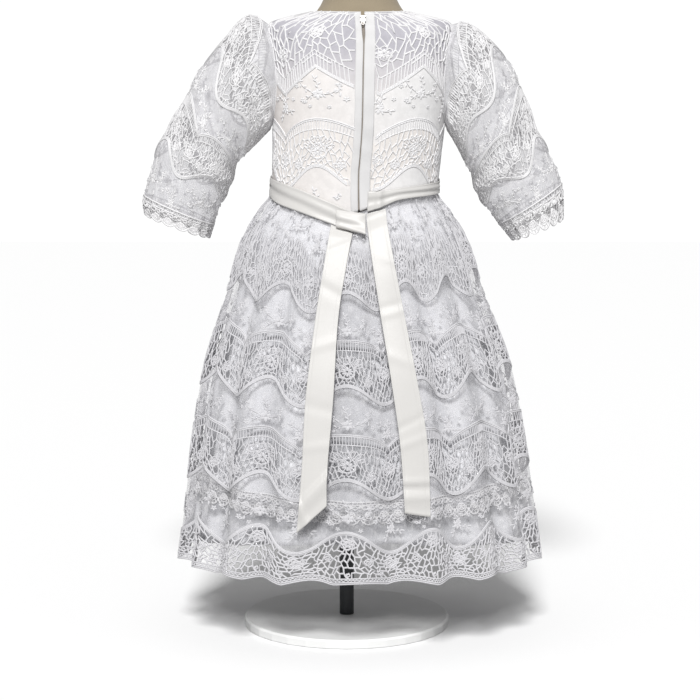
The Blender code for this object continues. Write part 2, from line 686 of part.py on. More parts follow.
def make_turned(name, profile, material):
    """A round piece turned from its profile, which runs down its outer side."""
    bm = bmesh.new()
    points = [bm.verts.new((radius, 0, z)) for radius, z in profile]
    for first, second in zip(points, points[1:]):
        bm.edges.new((first, second))
    mesh = bpy.data.meshes.new(name)
    bm.to_mesh(mesh)
    bm.free()
    obj = add_object(name, mesh, material, None)
    turned = obj.modifiers.new("Turned", "SCREW")
    turned.steps = turned.render_steps = 32
    turned.use_merge_vertices = True
    turned.merge_threshold = 0.00001
    return obj


def make_stand():
    top = TORSO_BOTTOM - SEAM
    foot = BASE_HEIGHT + SEAM
    make_turned("stand_pole", ((0, top), (POLE_RADIUS, top), (POLE_RADIUS, foot), (0, foot)), pole_paint)
    edge = 0.002
    make_turned("stand_base", (
        (0, BASE_HEIGHT), (BASE_RADIUS - edge, BASE_HEIGHT), (BASE_RADIUS, BASE_HEIGHT - edge),
        (BASE_RADIUS, 0.001), (BASE_RADIUS - 0.001, 0), (0, 0)), base_paint)


for old in list(bpy.data.objects):
    bpy.data.objects.remove(old)
collection = bpy.data.collections.new("lace_dress_on_form")
bpy.context.scene.collection.children.link(collection)
cutters = bpy.data.collections.new("cutters")
bpy.context.scene.collection.children.link(cutters)

dress = bpy.data.objects.new("dress_and_form", None)
collection.objects.link(dress)
dress.location = (DRESS_OFFSET, 0, 0)

lace_white = make_material("lace_white", (0.80, 0.79, 0.78), 0.85)
lining_cloth = make_material("lining_cloth", (0.76, 0.75, 0.76), 0.8)
satin = make_material("satin", (0.90, 0.90, 0.90), 0.35)
zip_plastic = make_material("zip_plastic", (0.55, 0.53, 0.50), 0.5)
zip_metal = make_material("zip_metal", (0.60, 0.59, 0.58), 0.4, 0.9)
form_cover = make_material("form_cover", (0.43, 0.38, 0.31), 0.8)
pole_paint = make_material("pole_paint", (0.02, 0.02, 0.02), 0.45)
base_paint = make_material("base_paint", (0.85, 0.85, 0.85), 0.4)

make_form()
make_stand()
make_bodice()
make_zip()
make_sleeve(-1)
make_sleeve(1)
make_skirt()
make_lining()
make_sash()
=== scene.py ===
"""Looks of a baby lace dress with a satin sash, worn by a limbless dress form on a stand.

The dress is seen from its back, which faces -Y. Angles go round it from the centre back (0), over the
right side (90, +X) to the centre front (180). Each cloth is a thin shell on the form of its solid, and
the lace's cords are laid on those shells from flat charts of its repeats.
"""
import math
import random

import bmesh
import bpy
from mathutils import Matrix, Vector


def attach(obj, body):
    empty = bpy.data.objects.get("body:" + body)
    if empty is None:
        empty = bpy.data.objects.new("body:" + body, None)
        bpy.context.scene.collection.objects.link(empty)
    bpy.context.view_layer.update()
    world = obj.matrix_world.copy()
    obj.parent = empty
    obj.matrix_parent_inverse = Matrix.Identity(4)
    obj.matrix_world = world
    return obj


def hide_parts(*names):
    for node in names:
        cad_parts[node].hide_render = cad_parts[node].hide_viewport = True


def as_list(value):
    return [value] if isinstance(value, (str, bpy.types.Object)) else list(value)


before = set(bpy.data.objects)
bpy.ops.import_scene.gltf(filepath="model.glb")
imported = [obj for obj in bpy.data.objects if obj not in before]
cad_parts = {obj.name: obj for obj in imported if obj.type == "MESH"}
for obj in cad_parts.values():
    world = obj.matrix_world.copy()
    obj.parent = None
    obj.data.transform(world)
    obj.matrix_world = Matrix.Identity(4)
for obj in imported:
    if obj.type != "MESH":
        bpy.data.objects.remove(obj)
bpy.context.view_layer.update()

bl_info = {
    "name": "Lace dress",
    "version": (1, 0, 0),
    "blender": (4, 5, 0),
    "location": "View3D > Sidebar > Lace dress",
    "description": "Builds a baby lace dress with a satin sash on a dress form",
    "category": "Add Mesh",
}

BODY = "dress_on_form"

# Driving sizes of the solids, in metres
SEAM = 0.0003
DRESS_OFFSET = 0.0147
HEM_Z = 0.0790
SIDE_SEAM_Z = 0.4910
WAIST_GAP = 0.0008
FINE_CLOTH = 0.0012

# Bodice rings. The waist is level 0, the underarm 3, the shoulder tip 6, the neckline 8.
# level, z at back, z at front, z at side, half width, back depth, front depth, squareness, centre x
BODICE = (
    (0, 0.4910, 0.4910, 0.4910, 0.0905, 0.0680, 0.0680, 2.30, -0.0060),
    (1, 0.5070, 0.5070, 0.5070, 0.0910, 0.0675, 0.0690, 2.30, -0.0048),
    (2, 0.5330, 0.5330, 0.5330, 0.0920, 0.0690, 0.0720, 2.30, -0.0030),
    (3, 0.5600, 0.5580, 0.5580, 0.0935, 0.0705, 0.0735, 2.35, -0.0015),
    (4, 0.5920, 0.5880, 0.6000, 0.0955, 0.0700, 0.0730, 2.40, 0.0),
    (5, 0.6250, 0.6150, 0.6400, 0.0985, 0.0655, 0.0690, 2.50, 0.0),
    (6, 0.6500, 0.6340, 0.6655, 0.0985, 0.0600, 0.0620, 2.50, 0.0),
    (7, 0.6650, 0.6430, 0.6735, 0.0760, 0.0550, 0.0560, 2.30, 0.0),
    (8, 0.6770, 0.6500, 0.6790, 0.0510, 0.0500, 0.0500, 2.00, 0.0),
)
UNDERARM, SHOULDER_TIP, NECKLINE = 3, 6, 8
ARMHOLE_HALF_ANGLE = 23.0

# Height of the waist seam round the dress: angle, z
WAIST_SEAM = (
    (-180, 0.4920), (-90, 0.4910), (-60, 0.4850), (-35, 0.4745), (-13, 0.4655), (-6, 0.4630),
    (0, 0.4640), (7, 0.4692), (15, 0.4748), (28, 0.4810), (60, 0.4870), (90, 0.4910), (180, 0.4920),
)
# Centre line of the zip on the back: z, x, half of the slit's width
ZIP_LINE = (
    (0.4600, -0.0015, 0.0019), (0.5040, -0.0019, 0.0015), (0.5275, 0.0000, 0.0013),
    (0.5600, 0.0020, 0.0013), (0.6100, 0.0029, 0.0013), (0.6470, 0.0036, 0.0014),
    (0.6750, 0.0024, 0.0019),
)
# Skirt rings: drop below the waist seam, centre x, half width, half depth, fold depth, squareness
SKIRT = (
    (0.000, -0.0060, 0.0905, 0.0680, 0.0006, 2.30),
    (0.012, -0.0060, 0.0925, 0.0700, 0.0008, 2.30),
    (0.026, -0.0062, 0.1050, 0.0810, 0.0040, 2.25),
    (0.060, -0.0060, 0.1250, 0.0980, 0.0060, 2.20),
    (0.115, -0.0050, 0.1430, 0.1130, 0.0080, 2.15),
    (0.193, -0.0027, 0.1703, 0.1330, 0.0110, 2.15),
    (0.283, -0.0015, 0.1870, 0.1470, 0.0130, 2.15),
    (0.340, -0.0004, 0.1945, 0.1530, 0.0140, 2.15),
    (0.412, -0.0003, 0.2040, 0.1600, 0.0150, 2.15),
)
GATHERS = 18
GATHER_END = 0.100
SCALLOPS = 24
SCALLOP_RISE = 0.004
# Large folds of the skirt: angle of the crest, share of the fold depth
FOLDS = (
    (-101, 0.9), (-79, 1.0), (-61, 0.8), (-42, 1.0), (-23, 0.9), (-1, 1.1), (21, 1.2), (41, 0.8), (60, 1.0),
    (79, 0.8), (101, 0.9), (121, 1.0), (141, 0.8), (161, 1.1), (181, 0.9), (201, 1.0), (220, 0.8), (240, 1.0),
)
# Lining inside the lace: drop, distance inside the lace's crests
LINING_INSET = ((0.0, 0.0019), (0.026, 0.0060), (0.060, 0.0090), (0.115, 0.0115), (0.400, 0.0120))
LINING_FOLD_SHARE = 0.6
LINING_HEM_BACK, LINING_HEM_SIDE = 0.1200, 0.1040
EDGE_LACE_LOW_BACK, EDGE_LACE_LOW_SIDE = 0.1400, 0.1530
EDGE_LACE_HEIGHT = 0.0260

# Sleeve rings: share of the length, outer x, outer z, inner x, inner z, half depth
SLEEVES = {
    "left": (
        (0.00, -0.0990, 0.6660, -0.0945, 0.5580, 0.031),
        (0.05, -0.1120, 0.6750, -0.0985, 0.5520, 0.046),
        (0.11, -0.1250, 0.6750, -0.1040, 0.5460, 0.053),
        (0.22, -0.1460, 0.6530, -0.1120, 0.5380, 0.056),
        (0.33, -0.1670, 0.6270, -0.1220, 0.5290, 0.055),
        (0.44, -0.1830, 0.6040, -0.1320, 0.5180, 0.053),
        (0.55, -0.1970, 0.5750, -0.1385, 0.5040, 0.051),
        (0.67, -0.2120, 0.5490, -0.1445, 0.4890, 0.049),
        (0.79, -0.2250, 0.5220, -0.1510, 0.4740, 0.046),
        (0.91, -0.2335, 0.4920, -0.1585, 0.4560, 0.043),
        (1.00, -0.2365, 0.4740, -0.1630, 0.4450, 0.041),
        (1.17, -0.2345, 0.4590, -0.1665, 0.4345, 0.041),
    ),
    "right": (
        (0.00, 0.0990, 0.6640, 0.0930, 0.5580, 0.031),
        (0.05, 0.1100, 0.6680, 0.0965, 0.5505, 0.045),
        (0.11, 0.1220, 0.6650, 0.1005, 0.5430, 0.052),
        (0.22, 0.1400, 0.6510, 0.1070, 0.5320, 0.055),
        (0.33, 0.1560, 0.6330, 0.1135, 0.5200, 0.054),
        (0.44, 0.1710, 0.6110, 0.1195, 0.5070, 0.052),
        (0.55, 0.1810, 0.5840, 0.1245, 0.4945, 0.050),
        (0.67, 0.1925, 0.5520, 0.1300, 0.4820, 0.048),
        (0.79, 0.2060, 0.5280, 0.1375, 0.4690, 0.045),
        (0.91, 0.2165, 0.5060, 0.1480, 0.4560, 0.042),
        (1.00, 0.2210, 0.4840, 0.1570, 0.4460, 0.040),
        (1.17, 0.2215, 0.4540, 0.1690, 0.4320, 0.040),
    ),
}
SLEEVE_GATHERS = 6
SLEEVE_GATHER_DEPTH = 0.0025
SLEEVE_GATHER_LEAST = 0.6
SLEEVE_GATHER_START, SLEEVE_GATHER_FADE = 0.05, 0.5
HEAD_BLEND = 0.15
CUFF_LACE_END = 1.15

# Sash edges round the waist: angle, lower z, upper z
SASH = (
    (-180, 0.4780, 0.5060), (-120, 0.4790, 0.5040), (-90, 0.4820, 0.5010), (-60, 0.4735, 0.4965),
    (-35, 0.4650, 0.4885), (-13, 0.4540, 0.4755), (-6, 0.4490, 0.4700), (0, 0.4450, 0.4660),
    (3, 0.4440, 0.4640),
)
SASH_RIGHT = (
    (6, 0.4660, 0.4875), (15, 0.4713, 0.4880), (28, 0.4785, 0.4910), (60, 0.4820, 0.4950),
    (90, 0.4835, 0.4975), (120, 0.4800, 0.5040), (180, 0.4780, 0.5060),
)
SASH_LIFT = 0.0012
# Tails, by the two edges: left x, left z, right x, right z
TAIL_LEFT = (
    (-0.0312, 0.4530, -0.0085, 0.4438), (-0.0380, 0.4150, -0.0150, 0.4100),
    (-0.0476, 0.3550, -0.0235, 0.3550), (-0.0576, 0.2740, -0.0286, 0.2740),
    (-0.0615, 0.2025, -0.0347, 0.2025), (-0.0670, 0.1350, -0.0355, 0.1640),
)
TAIL_RIGHT = (
    (0.0066, 0.4640, 0.0270, 0.4695), (0.0080, 0.4450, 0.0300, 0.4450),
    (0.0195, 0.3700, 0.0443, 0.3700), (0.0322, 0.2930, 0.0594, 0.2930),
    (0.0415, 0.2260, 0.0704, 0.2260), (0.0465, 0.1560, 0.0735, 0.1510),
)
# Knot strap over the crossing: x, lower z, upper z
KNOT = ((-0.0260, 0.4500, 0.4690), (0.0056, 0.4430, 0.4645))
KNOT_THICKNESS, KNOT_LIFT = 0.0055, 0.0034

# Dress form below the waist and above the neckline: z, half width, half depth
TORSO_HIP = (
    (0.3300, 0.0800, 0.0580), (0.3480, 0.0850, 0.0630), (0.4000, 0.0850, 0.0630), (0.4400, 0.0830, 0.0605),
)
TORSO_NECK = (
    (0.6860, 0.0430, 0.0405), (0.6960, 0.0385, 0.0375), (0.7120, 0.0365, 0.0360), (0.7290, 0.0360, 0.0355),
)
TORSO_TOP = ((0.7320, 0.0330, 0.0325), (0.7335, 0.0200, 0.0200))
TORSO_INSET_SHOULDER, TORSO_INSET_BODY, TORSO_INSET_WAIST = 0.0020, 0.0050, 0.0075

# Thickness of the visible cloths, and how far cords lie over their cloth
LINING_WALL, PLACKET_WALL, SATIN_WALL = 0.0008, 0.0005, 0.0007
CORD_LIFT = 0.0006

# Lace on the skirt: which repeat has its arch's crest at which angle
REPEAT_ANGLES = (
    (-3, -96.0), (-2, -65.0), (-1, -34.0), (0, -3.0), (1, 21.0), (2, 44.0), (3, 75.0), (4, 106.0),
    (5, 137.6), (6, 169.2), (7, 200.8), (8, 232.4), (9, 264.0),
)
FIRST_REPEAT, REPEATS = -3, 12
REPEATS_MEET = -111.5                    # angle at which the last repeat meets the first
HALF_PANEL = 89.85                       # degrees from the middle of a skirt panel to its side seam
REPEAT_WIDTH = 0.085
BAND_DROPS = (0.036, 0.139, 0.243)       # drop of the arches' crests in each band of openwork
HEM_BAND_DROP = 0.3516
SKIRT_LENGTH = SIDE_SEAM_Z - HEM_Z

# One repeat of the openwork band, counted down from the arch's crest
ARCH_DEPTH = 0.020
LADDER_HEIGHT = 0.0105
LADDER_TICKS = 30
WAVE_TOP, WAVE_SWING = 0.062, 0.013
SPRAY_TOP = WAVE_TOP + 0.010             # where the sprays on the net begin
HEM_CORD_TOP, HEM_CORD_SWING = 0.013, 0.013
HEM_EDGE = SKIRT_LENGTH - HEM_BAND_DROP

# Bodice lace: z of the arches' crests, and the angle of a crest on each panel
BODICE_BANDS = (0.6830, 0.5640)
YOKE_WAVE_TOP, YOKE_SWING = 0.0780, 0.0150
YOKE_FAN = 0.0170
BODICE_REPEAT_DEGREES = 60.0
BODICE_CREST = {"left": -24.0, "right": 39.0, "front": 180.0}
BODICE_LACE_FOOT = 0.478                 # height at which the bodice's lace ends, under the sash
EDGE_MARGIN = 0.6                        # degrees that the lace keeps clear of a panel's edges
PLACKET_LEFT, PLACKET_RIGHT = 0.0085, 0.0125

# Sleeve lace: share of the sleeve's length at the arches' crests
SLEEVE_LENGTH = 0.235
SLEEVE_REPEATS = 4
SLEEVE_SHIFT = 0.13                      # share of a repeat by which the arches are turned
SLEEVE_BANDS = (0.03, 0.47)

# Guipure edging: one scallop's size, and how many go round the lining and a cuff
EDGING_WIDTH = 0.0130
EDGING_HEIGHT = 0.0240
LINING_SCALLOPS, CUFF_SCALLOPS = 76, 16


def srgb(code):
    """A hex colour as the linear RGBA that Blender's sockets take."""
    parts = [int(code[i:i + 2], 16) / 255 for i in (1, 3, 5)]
    return (*(p / 12.92 if p <= 0.04045 else ((p + 0.055) / 1.055) ** 2.4 for p in parts), 1.0)


# Forms of the solids, as the pieces lie on them

def read_row(table, at):
    """Columns of a table at a place between its rows, on a smooth curve."""
    last_row = len(table) - 1
    at = min(max(at, table[0][0]), table[last_row][0])
    i = 0
    while i < last_row - 1 and at > table[i + 1][0]:
        i += 1
    before, first, last, after = table[max(i - 1, 0)], table[i], table[i + 1], table[min(i + 2, last_row)]
    span = last[0] - first[0]
    t = (at - first[0]) / span
    values = []
    # Each column follows a cubic whose slopes at both ends come from the neighbouring rows
    for c in range(1, len(first)):
        slope_in = (last[c] - before[c]) / (last[0] - before[0]) * span
        slope_out = (after[c] - first[c]) / (after[0] - first[0]) * span
        values.append(
            (2 * t**3 - 3 * t**2 + 1) * first[c] + (t**3 - 2 * t**2 + t) * slope_in
            + (3 * t**2 - 2 * t**3) * last[c] + (t**3 - t**2) * slope_out)
    return values


def read_line(table, at):
    """The second column of a table at a place between its rows, on straight lines."""
    for (a0, b0), (a1, b1) in zip(table, table[1:]):
        if at <= a1:
            return b0 + (b1 - b0) * (at - a0) / (a1 - a0)
    (a0, b0), (a1, b1) = table[-2:]
    return b0 + (b1 - b0) * (at - a0) / (a1 - a0)


def mix(a, b, share):
    """A value between two others."""
    return a + (b - a) * share


def ease(t):
    """A soft step from 0 to 1."""
    t = min(max(t, 0.0), 1.0)
    return t * t * (3 - 2 * t)


def wrap(angle):
    """An angle in degrees, between -180 and 180."""
    return (angle + 180) % 360 - 180


def signed_power(value, power):
    """A power that keeps its value's sign."""
    return math.copysign(abs(value) ** power, value)


def ring_point(angle, half_width, back_depth, front_depth, squareness, centre_x, z):
    """Point on a rounded ring at an angle from the centre back."""
    s, c = math.sin(math.radians(angle)), math.cos(math.radians(angle))
    depth = back_depth if c > 0 else front_depth
    power = 2 / squareness
    return Vector((centre_x + half_width * signed_power(s, power), -depth * signed_power(c, power), z))


def ring_angle(x, half_width, squareness, centre_x):
    """Angle at which the back of a ring reaches a given x."""
    share = min(max((x - centre_x) / half_width, -1.0), 1.0)
    return math.degrees(math.asin(signed_power(share, squareness / 2)))


def seam_height(angle):
    return read_row(WAIST_SEAM, wrap(angle))[0]


def bodice_height(angle, level):
    z_back, z_front, z_side = read_row(BODICE, level)[:3]
    s, c = math.sin(math.radians(angle)), math.cos(math.radians(angle))
    z = z_side * s * s + (z_back if c > 0 else z_front) * c * c
    if level < 1:
        z += (seam_height(angle) + SEAM / 2 + WAIST_GAP - BODICE[0][3]) * (1 - level)
    return z


def bodice_point(angle, level, inset=0.0):
    half_width, back, front, squareness, centre_x = read_row(BODICE, level)[3:]
    z = bodice_height(angle, level)
    return ring_point(angle, half_width - inset, back - inset, front - inset, squareness, centre_x, z)


def bodice_level(angle, z):
    """Level of the bodice at a height, found by halving."""
    low, high = 0.0, float(NECKLINE)
    for _ in range(16):
        middle = (low + high) / 2
        if bodice_height(angle, middle) < z:
            low = middle
        else:
            high = middle
    return (low + high) / 2


def zip_angle(level, offset):
    """Angle of a line beside the zip, a distance to the right of its centre."""
    half_width, _, _, squareness, centre_x = read_row(BODICE, level)[3:]
    x = read_row(ZIP_LINE, bodice_height(0, level))[0]
    return ring_angle(x + offset, half_width, squareness, centre_x)


def half_slit(level):
    return read_row(ZIP_LINE, bodice_height(0, level))[1]


def armhole_half_angle(level):
    middle, half = (SHOULDER_TIP + UNDERARM) / 2, (SHOULDER_TIP - UNDERARM) / 2
    across = min(abs(level - middle) / half, 1.0)
    return ARMHOLE_HALF_ANGLE * math.sqrt(1 - across * across)


def seam_angle(level):
    """Half a seam's gap at the side, as an angle."""
    return math.degrees(SEAM / read_row(BODICE, level)[3])


def fold_wave(angle):
    """The share of a large fold, and 1 on its crest and 0 between two crests."""
    crests = list(FOLDS)
    crests.append((crests[0][0] + 360, crests[0][1]))
    angle = (angle - crests[0][0]) % 360 + crests[0][0]
    for (a0, s0), (a1, s1) in zip(crests, crests[1:]):
        if angle <= a1:
            t = (angle - a0) / (a1 - a0)
            return mix(s0, s1, t), (1 + math.cos(2 * math.pi * t)) / 2
    return crests[-1][1], 1.0


def skirt_drop(angle, z):
    """Drop below the waist seam, stretched so that every angle reaches the same hem."""
    top = seam_height(angle)
    return (top - z) / (top - HEM_Z) * SKIRT_LENGTH


def skirt_height(angle, drop):
    top = seam_height(angle) - SEAM / 2
    return top - drop / SKIRT_LENGTH * (top - HEM_Z)


def skirt_point(angle, drop, fold_share=1.0, inset=0.0):
    """Point of the skirt. With no folds it lies on the envelope of the crests."""
    centre_x, half_width, half_depth, depth, squareness = read_row(SKIRT, drop)
    share, wave = fold_wave(angle)
    large = share * (wave - 1)
    small = 0.8 * (math.cos(math.radians(angle * GATHERS)) - 1) / 2
    back = depth * fold_share * mix(small, large, ease(drop / GATHER_END)) - inset
    return ring_point(angle, half_width + back, half_depth + back, half_depth + back,
                      squareness, centre_x, skirt_height(angle, drop))


def lining_point(angle, drop, lift=0.0):
    inset = read_row(LINING_INSET, drop)[0]
    return skirt_point(angle, drop, LINING_FOLD_SHARE, inset - lift)


def on_dress(angle, z, lift):
    """Point on the outside of the bodice or of the skirt's crests, moved out."""
    seam = seam_height(angle)
    if z >= seam:
        level = (z - seam) / (BODICE[1][1] - seam)
        point = bodice_point(angle, level, -lift)
    else:
        point = skirt_point(angle, skirt_drop(angle, z), 0.0, -lift)
    point.z = z
    return point


def armhole_edge(side, turn):
    """Point of the armhole's edge: turn is 0 at the shoulder tip, 180 at the underarm, by the back."""
    level = mix(UNDERARM, SHOULDER_TIP, (1 + math.cos(turn)) / 2)
    angle = 90 - ARMHOLE_HALF_ANGLE * math.sin(turn)
    point = bodice_point(side * angle, level)
    point.x += side * 1.5 * SEAM
    return point


def sleeve_ring(side, turn, share):
    """Point of a sleeve's plain ring, and its way out from the ring's centre."""
    outer_x, outer_z, inner_x, inner_z, half_depth = read_row(SLEEVES["right" if side > 0 else "left"], share)
    outer, inner = Vector((outer_x, 0, outer_z)), Vector((inner_x, 0, inner_z))
    reach = Vector((0, -half_depth * math.sin(turn), 0)) + (outer - inner) / 2 * math.cos(turn)
    return (outer + inner) / 2 + reach, reach


def sleeve_point(side, turn, share, lift=0.0):
    """Point of a sleeve: share runs from the armhole to the cuff, turn as on the armhole."""
    point, reach = sleeve_ring(side, turn, share)
    out = reach.normalized()
    if share < HEAD_BLEND:
        leave = armhole_edge(side, turn) - sleeve_ring(side, turn, 0)[0]
        point = point + leave * (1 - share / HEAD_BLEND) ** 2
    fade = ease(share / SLEEVE_GATHER_START) * (1 - ease(share / SLEEVE_GATHER_FADE))
    gathers = -math.cos(turn * SLEEVE_GATHERS) * mix(SLEEVE_GATHER_LEAST, 1, (1 + math.cos(turn)) / 2)
    point = point + out * SLEEVE_GATHER_DEPTH * fade * gathers
    return point + out * lift


# Finer form, laid on the forms above

# Soft ridges (+) and troughs (-) of the skirt: angle, first drop, last drop, half width in degrees, height
SKIRT_CREASES = (
    (-84, 0.03, 0.20, 2.2, -0.0030), (-71, 0.02, 0.15, 1.8, 0.0024), (-55, 0.01, 0.12, 1.6, -0.0024),
    (-48, 0.05, 0.24, 2.4, 0.0028), (-31, 0.02, 0.17, 1.8, -0.0026), (-18, 0.03, 0.30, 2.0, 0.0022),
    (-9, 0.01, 0.14, 1.5, -0.0022), (6, 0.02, 0.22, 2.0, -0.0030), (13, 0.01, 0.10, 1.5, 0.0022),
    (30, 0.03, 0.33, 2.6, -0.0042), (37, 0.01, 0.12, 1.6, 0.0020), (52, 0.04, 0.21, 2.2, -0.0026),
    (66, 0.01, 0.16, 1.8, 0.0026), (83, 0.05, 0.26, 2.4, -0.0024), (97, 0.02, 0.14, 2.0, 0.0022),
    (112, 0.04, 0.25, 2.4, -0.0030), (131, 0.01, 0.13, 1.8, 0.0024), (150, 0.03, 0.22, 2.2, -0.0028),
    (172, 0.02, 0.18, 2.0, 0.0024), (190, 0.04, 0.28, 2.4, -0.0030), (209, 0.01, 0.15, 1.8, 0.0022),
    (230, 0.03, 0.20, 2.2, -0.0026), (251, 0.02, 0.17, 2.0, 0.0024),
)


def skirt_detail(angle, drop):
    """Fine gathers under the waist, uneven in spacing, and the placed creases."""
    a = math.radians(angle)
    fine = math.sin(43 * a + 1.7 * math.sin(5 * a)) + 0.6 * math.sin(71 * a + 0.8 * math.sin(9 * a))
    fade = ease(drop / 0.014) * (1 - ease(drop / 0.150))
    height = 0.0011 * fine * fade
    for middle, first, last, half, crease in SKIRT_CREASES:
        off = wrap(angle - middle) / half
        if abs(off) < 2.5 and first < drop < last:
            height += crease * math.exp(-off * off) * math.sin(math.pi * (drop - first) / (last - first))
    return height


def skirt_surface(angle, drop, lift=0.0):
    """The skirt with its gathers and creases, and its hem raised between the scallops."""
    point = skirt_point(angle, drop, 1.0, -lift - skirt_detail(angle, drop))
    rise = SCALLOP_RISE * abs(math.cos(math.radians(angle * SCALLOPS / 2)))
    point.z += rise * ease((drop - 0.385) / (SKIRT_LENGTH - 0.385))
    return point


def bodice_surface(angle, z, lift=0.0):
    return bodice_point(angle, bodice_level(angle, z), -lift)


def sleeve_surface(side, turn, share, lift=0.0):
    """The sleeve with puckers at its head and cuff and slack creases at the elbow."""
    head = ease(share / 0.04) * (1 - ease(share / 0.22))
    cuff = ease((share - 0.82) / 0.14)
    pucker = 0.0010 * (head * math.sin(23 * turn + 1.1) + 0.8 * cuff * math.sin(17 * turn + 0.4))
    slack = 0.0022 * ease((share - 0.25) / 0.2) * (1 - ease((share - 0.7) / 0.2))
    crease = math.sin(3 * turn + 9 * share) * math.sin(26 * share + 1.5 * math.cos(turn))
    return sleeve_point(side, turn, share, lift + pucker + slack * crease)


# Flat charts of the lace. x and y are metres across the repeat and down from its crest.

def arch(x):
    """Upper cord of the openwork band: one round arch a repeat, with cusps between."""
    return ARCH_DEPTH * (1 - math.sin(math.pi * (x / REPEAT_WIDTH % 1)) ** 0.75)


def lower_arch(x):
    return arch(x) + LADDER_HEIGHT * (0.75 + 0.25 * math.sin(math.pi * (x / REPEAT_WIDTH % 1)))


def wave(x):
    """Lower cord of the openwork band."""
    return WAVE_TOP + WAVE_SWING * math.cos(2 * math.pi * x / REPEAT_WIDTH)


def yoke_wave(x):
    """Lower cord of the bodice's yoke: a pointed zigzag."""
    return YOKE_WAVE_TOP + YOKE_SWING * (2 * abs(2 * (x / REPEAT_WIDTH % 1) - 1) - 1)


def hem_cord(x):
    return HEM_CORD_TOP + HEM_CORD_SWING * math.cos(2 * math.pi * x / REPEAT_WIDTH)


# Creases across the sash's tails: z at the middle, rise across the width, half height, depth
TAIL_CREASES = {
    "sash_tail_left": (
        (0.4300, 0.010, 0.0040, 0.0008), (0.3850, -0.012, 0.0060, -0.0009), (0.3300, 0.008, 0.0050, 0.0007),
        (0.2650, -0.006, 0.0060, -0.0008), (0.2250, 0.004, 0.0050, 0.0008),
    ),
    "sash_tail_right": (
        (0.4200, -0.008, 0.0050, 0.0008), (0.3700, 0.006, 0.0030, -0.0007), (0.3620, 0.006, 0.0030, 0.0008),
        (0.3150, -0.010, 0.0060, 0.0008), (0.2500, 0.012, 0.0040, -0.0009), (0.2300, 0.010, 0.0040, 0.0009),
        (0.1890, 0.000, 0.0032, 0.0013), (0.1820, -0.001, 0.0024, -0.0013), (0.1720, 0.000, 0.0036, 0.0013),
        (0.1580, -0.002, 0.0060, -0.0011),
    ),
}


def tail_relief(name, u, z):
    """How far a tail's cloth stands out: soft creases, its folded hem, and the left one's turned end."""
    height = 0.0
    for middle, rise, half, depth in TAIL_CREASES[name]:
        off = (z - middle - rise * (u - 0.5)) / half
        if abs(off) < 3:
            height += depth * math.exp(-off * off)
    for hem in (0.10, 0.86, 0.94):
        height -= 0.0004 * math.exp(-((u - hem) / 0.022) ** 2)
    if name == "sash_tail_left":
        below = 0.189 + 0.030 * (u - 0.5) - z
        height += 0.0036 * ease(below / 0.010) - 0.0030 * ease((below - 0.010) / 0.022)
        corner = 0.173 - 0.049 * u - z
        height += 0.0026 * ease(corner / 0.007) - 0.0024 * ease((corner - 0.010) / 0.020)
    return height


def turned(x, y, turn, ahead, aside=0.0):
    """A point of a chart that lies ahead of another and beside it, on a heading."""
    return (x + ahead * math.sin(turn) + aside * math.cos(turn),
            y + ahead * math.cos(turn) - aside * math.sin(turn))


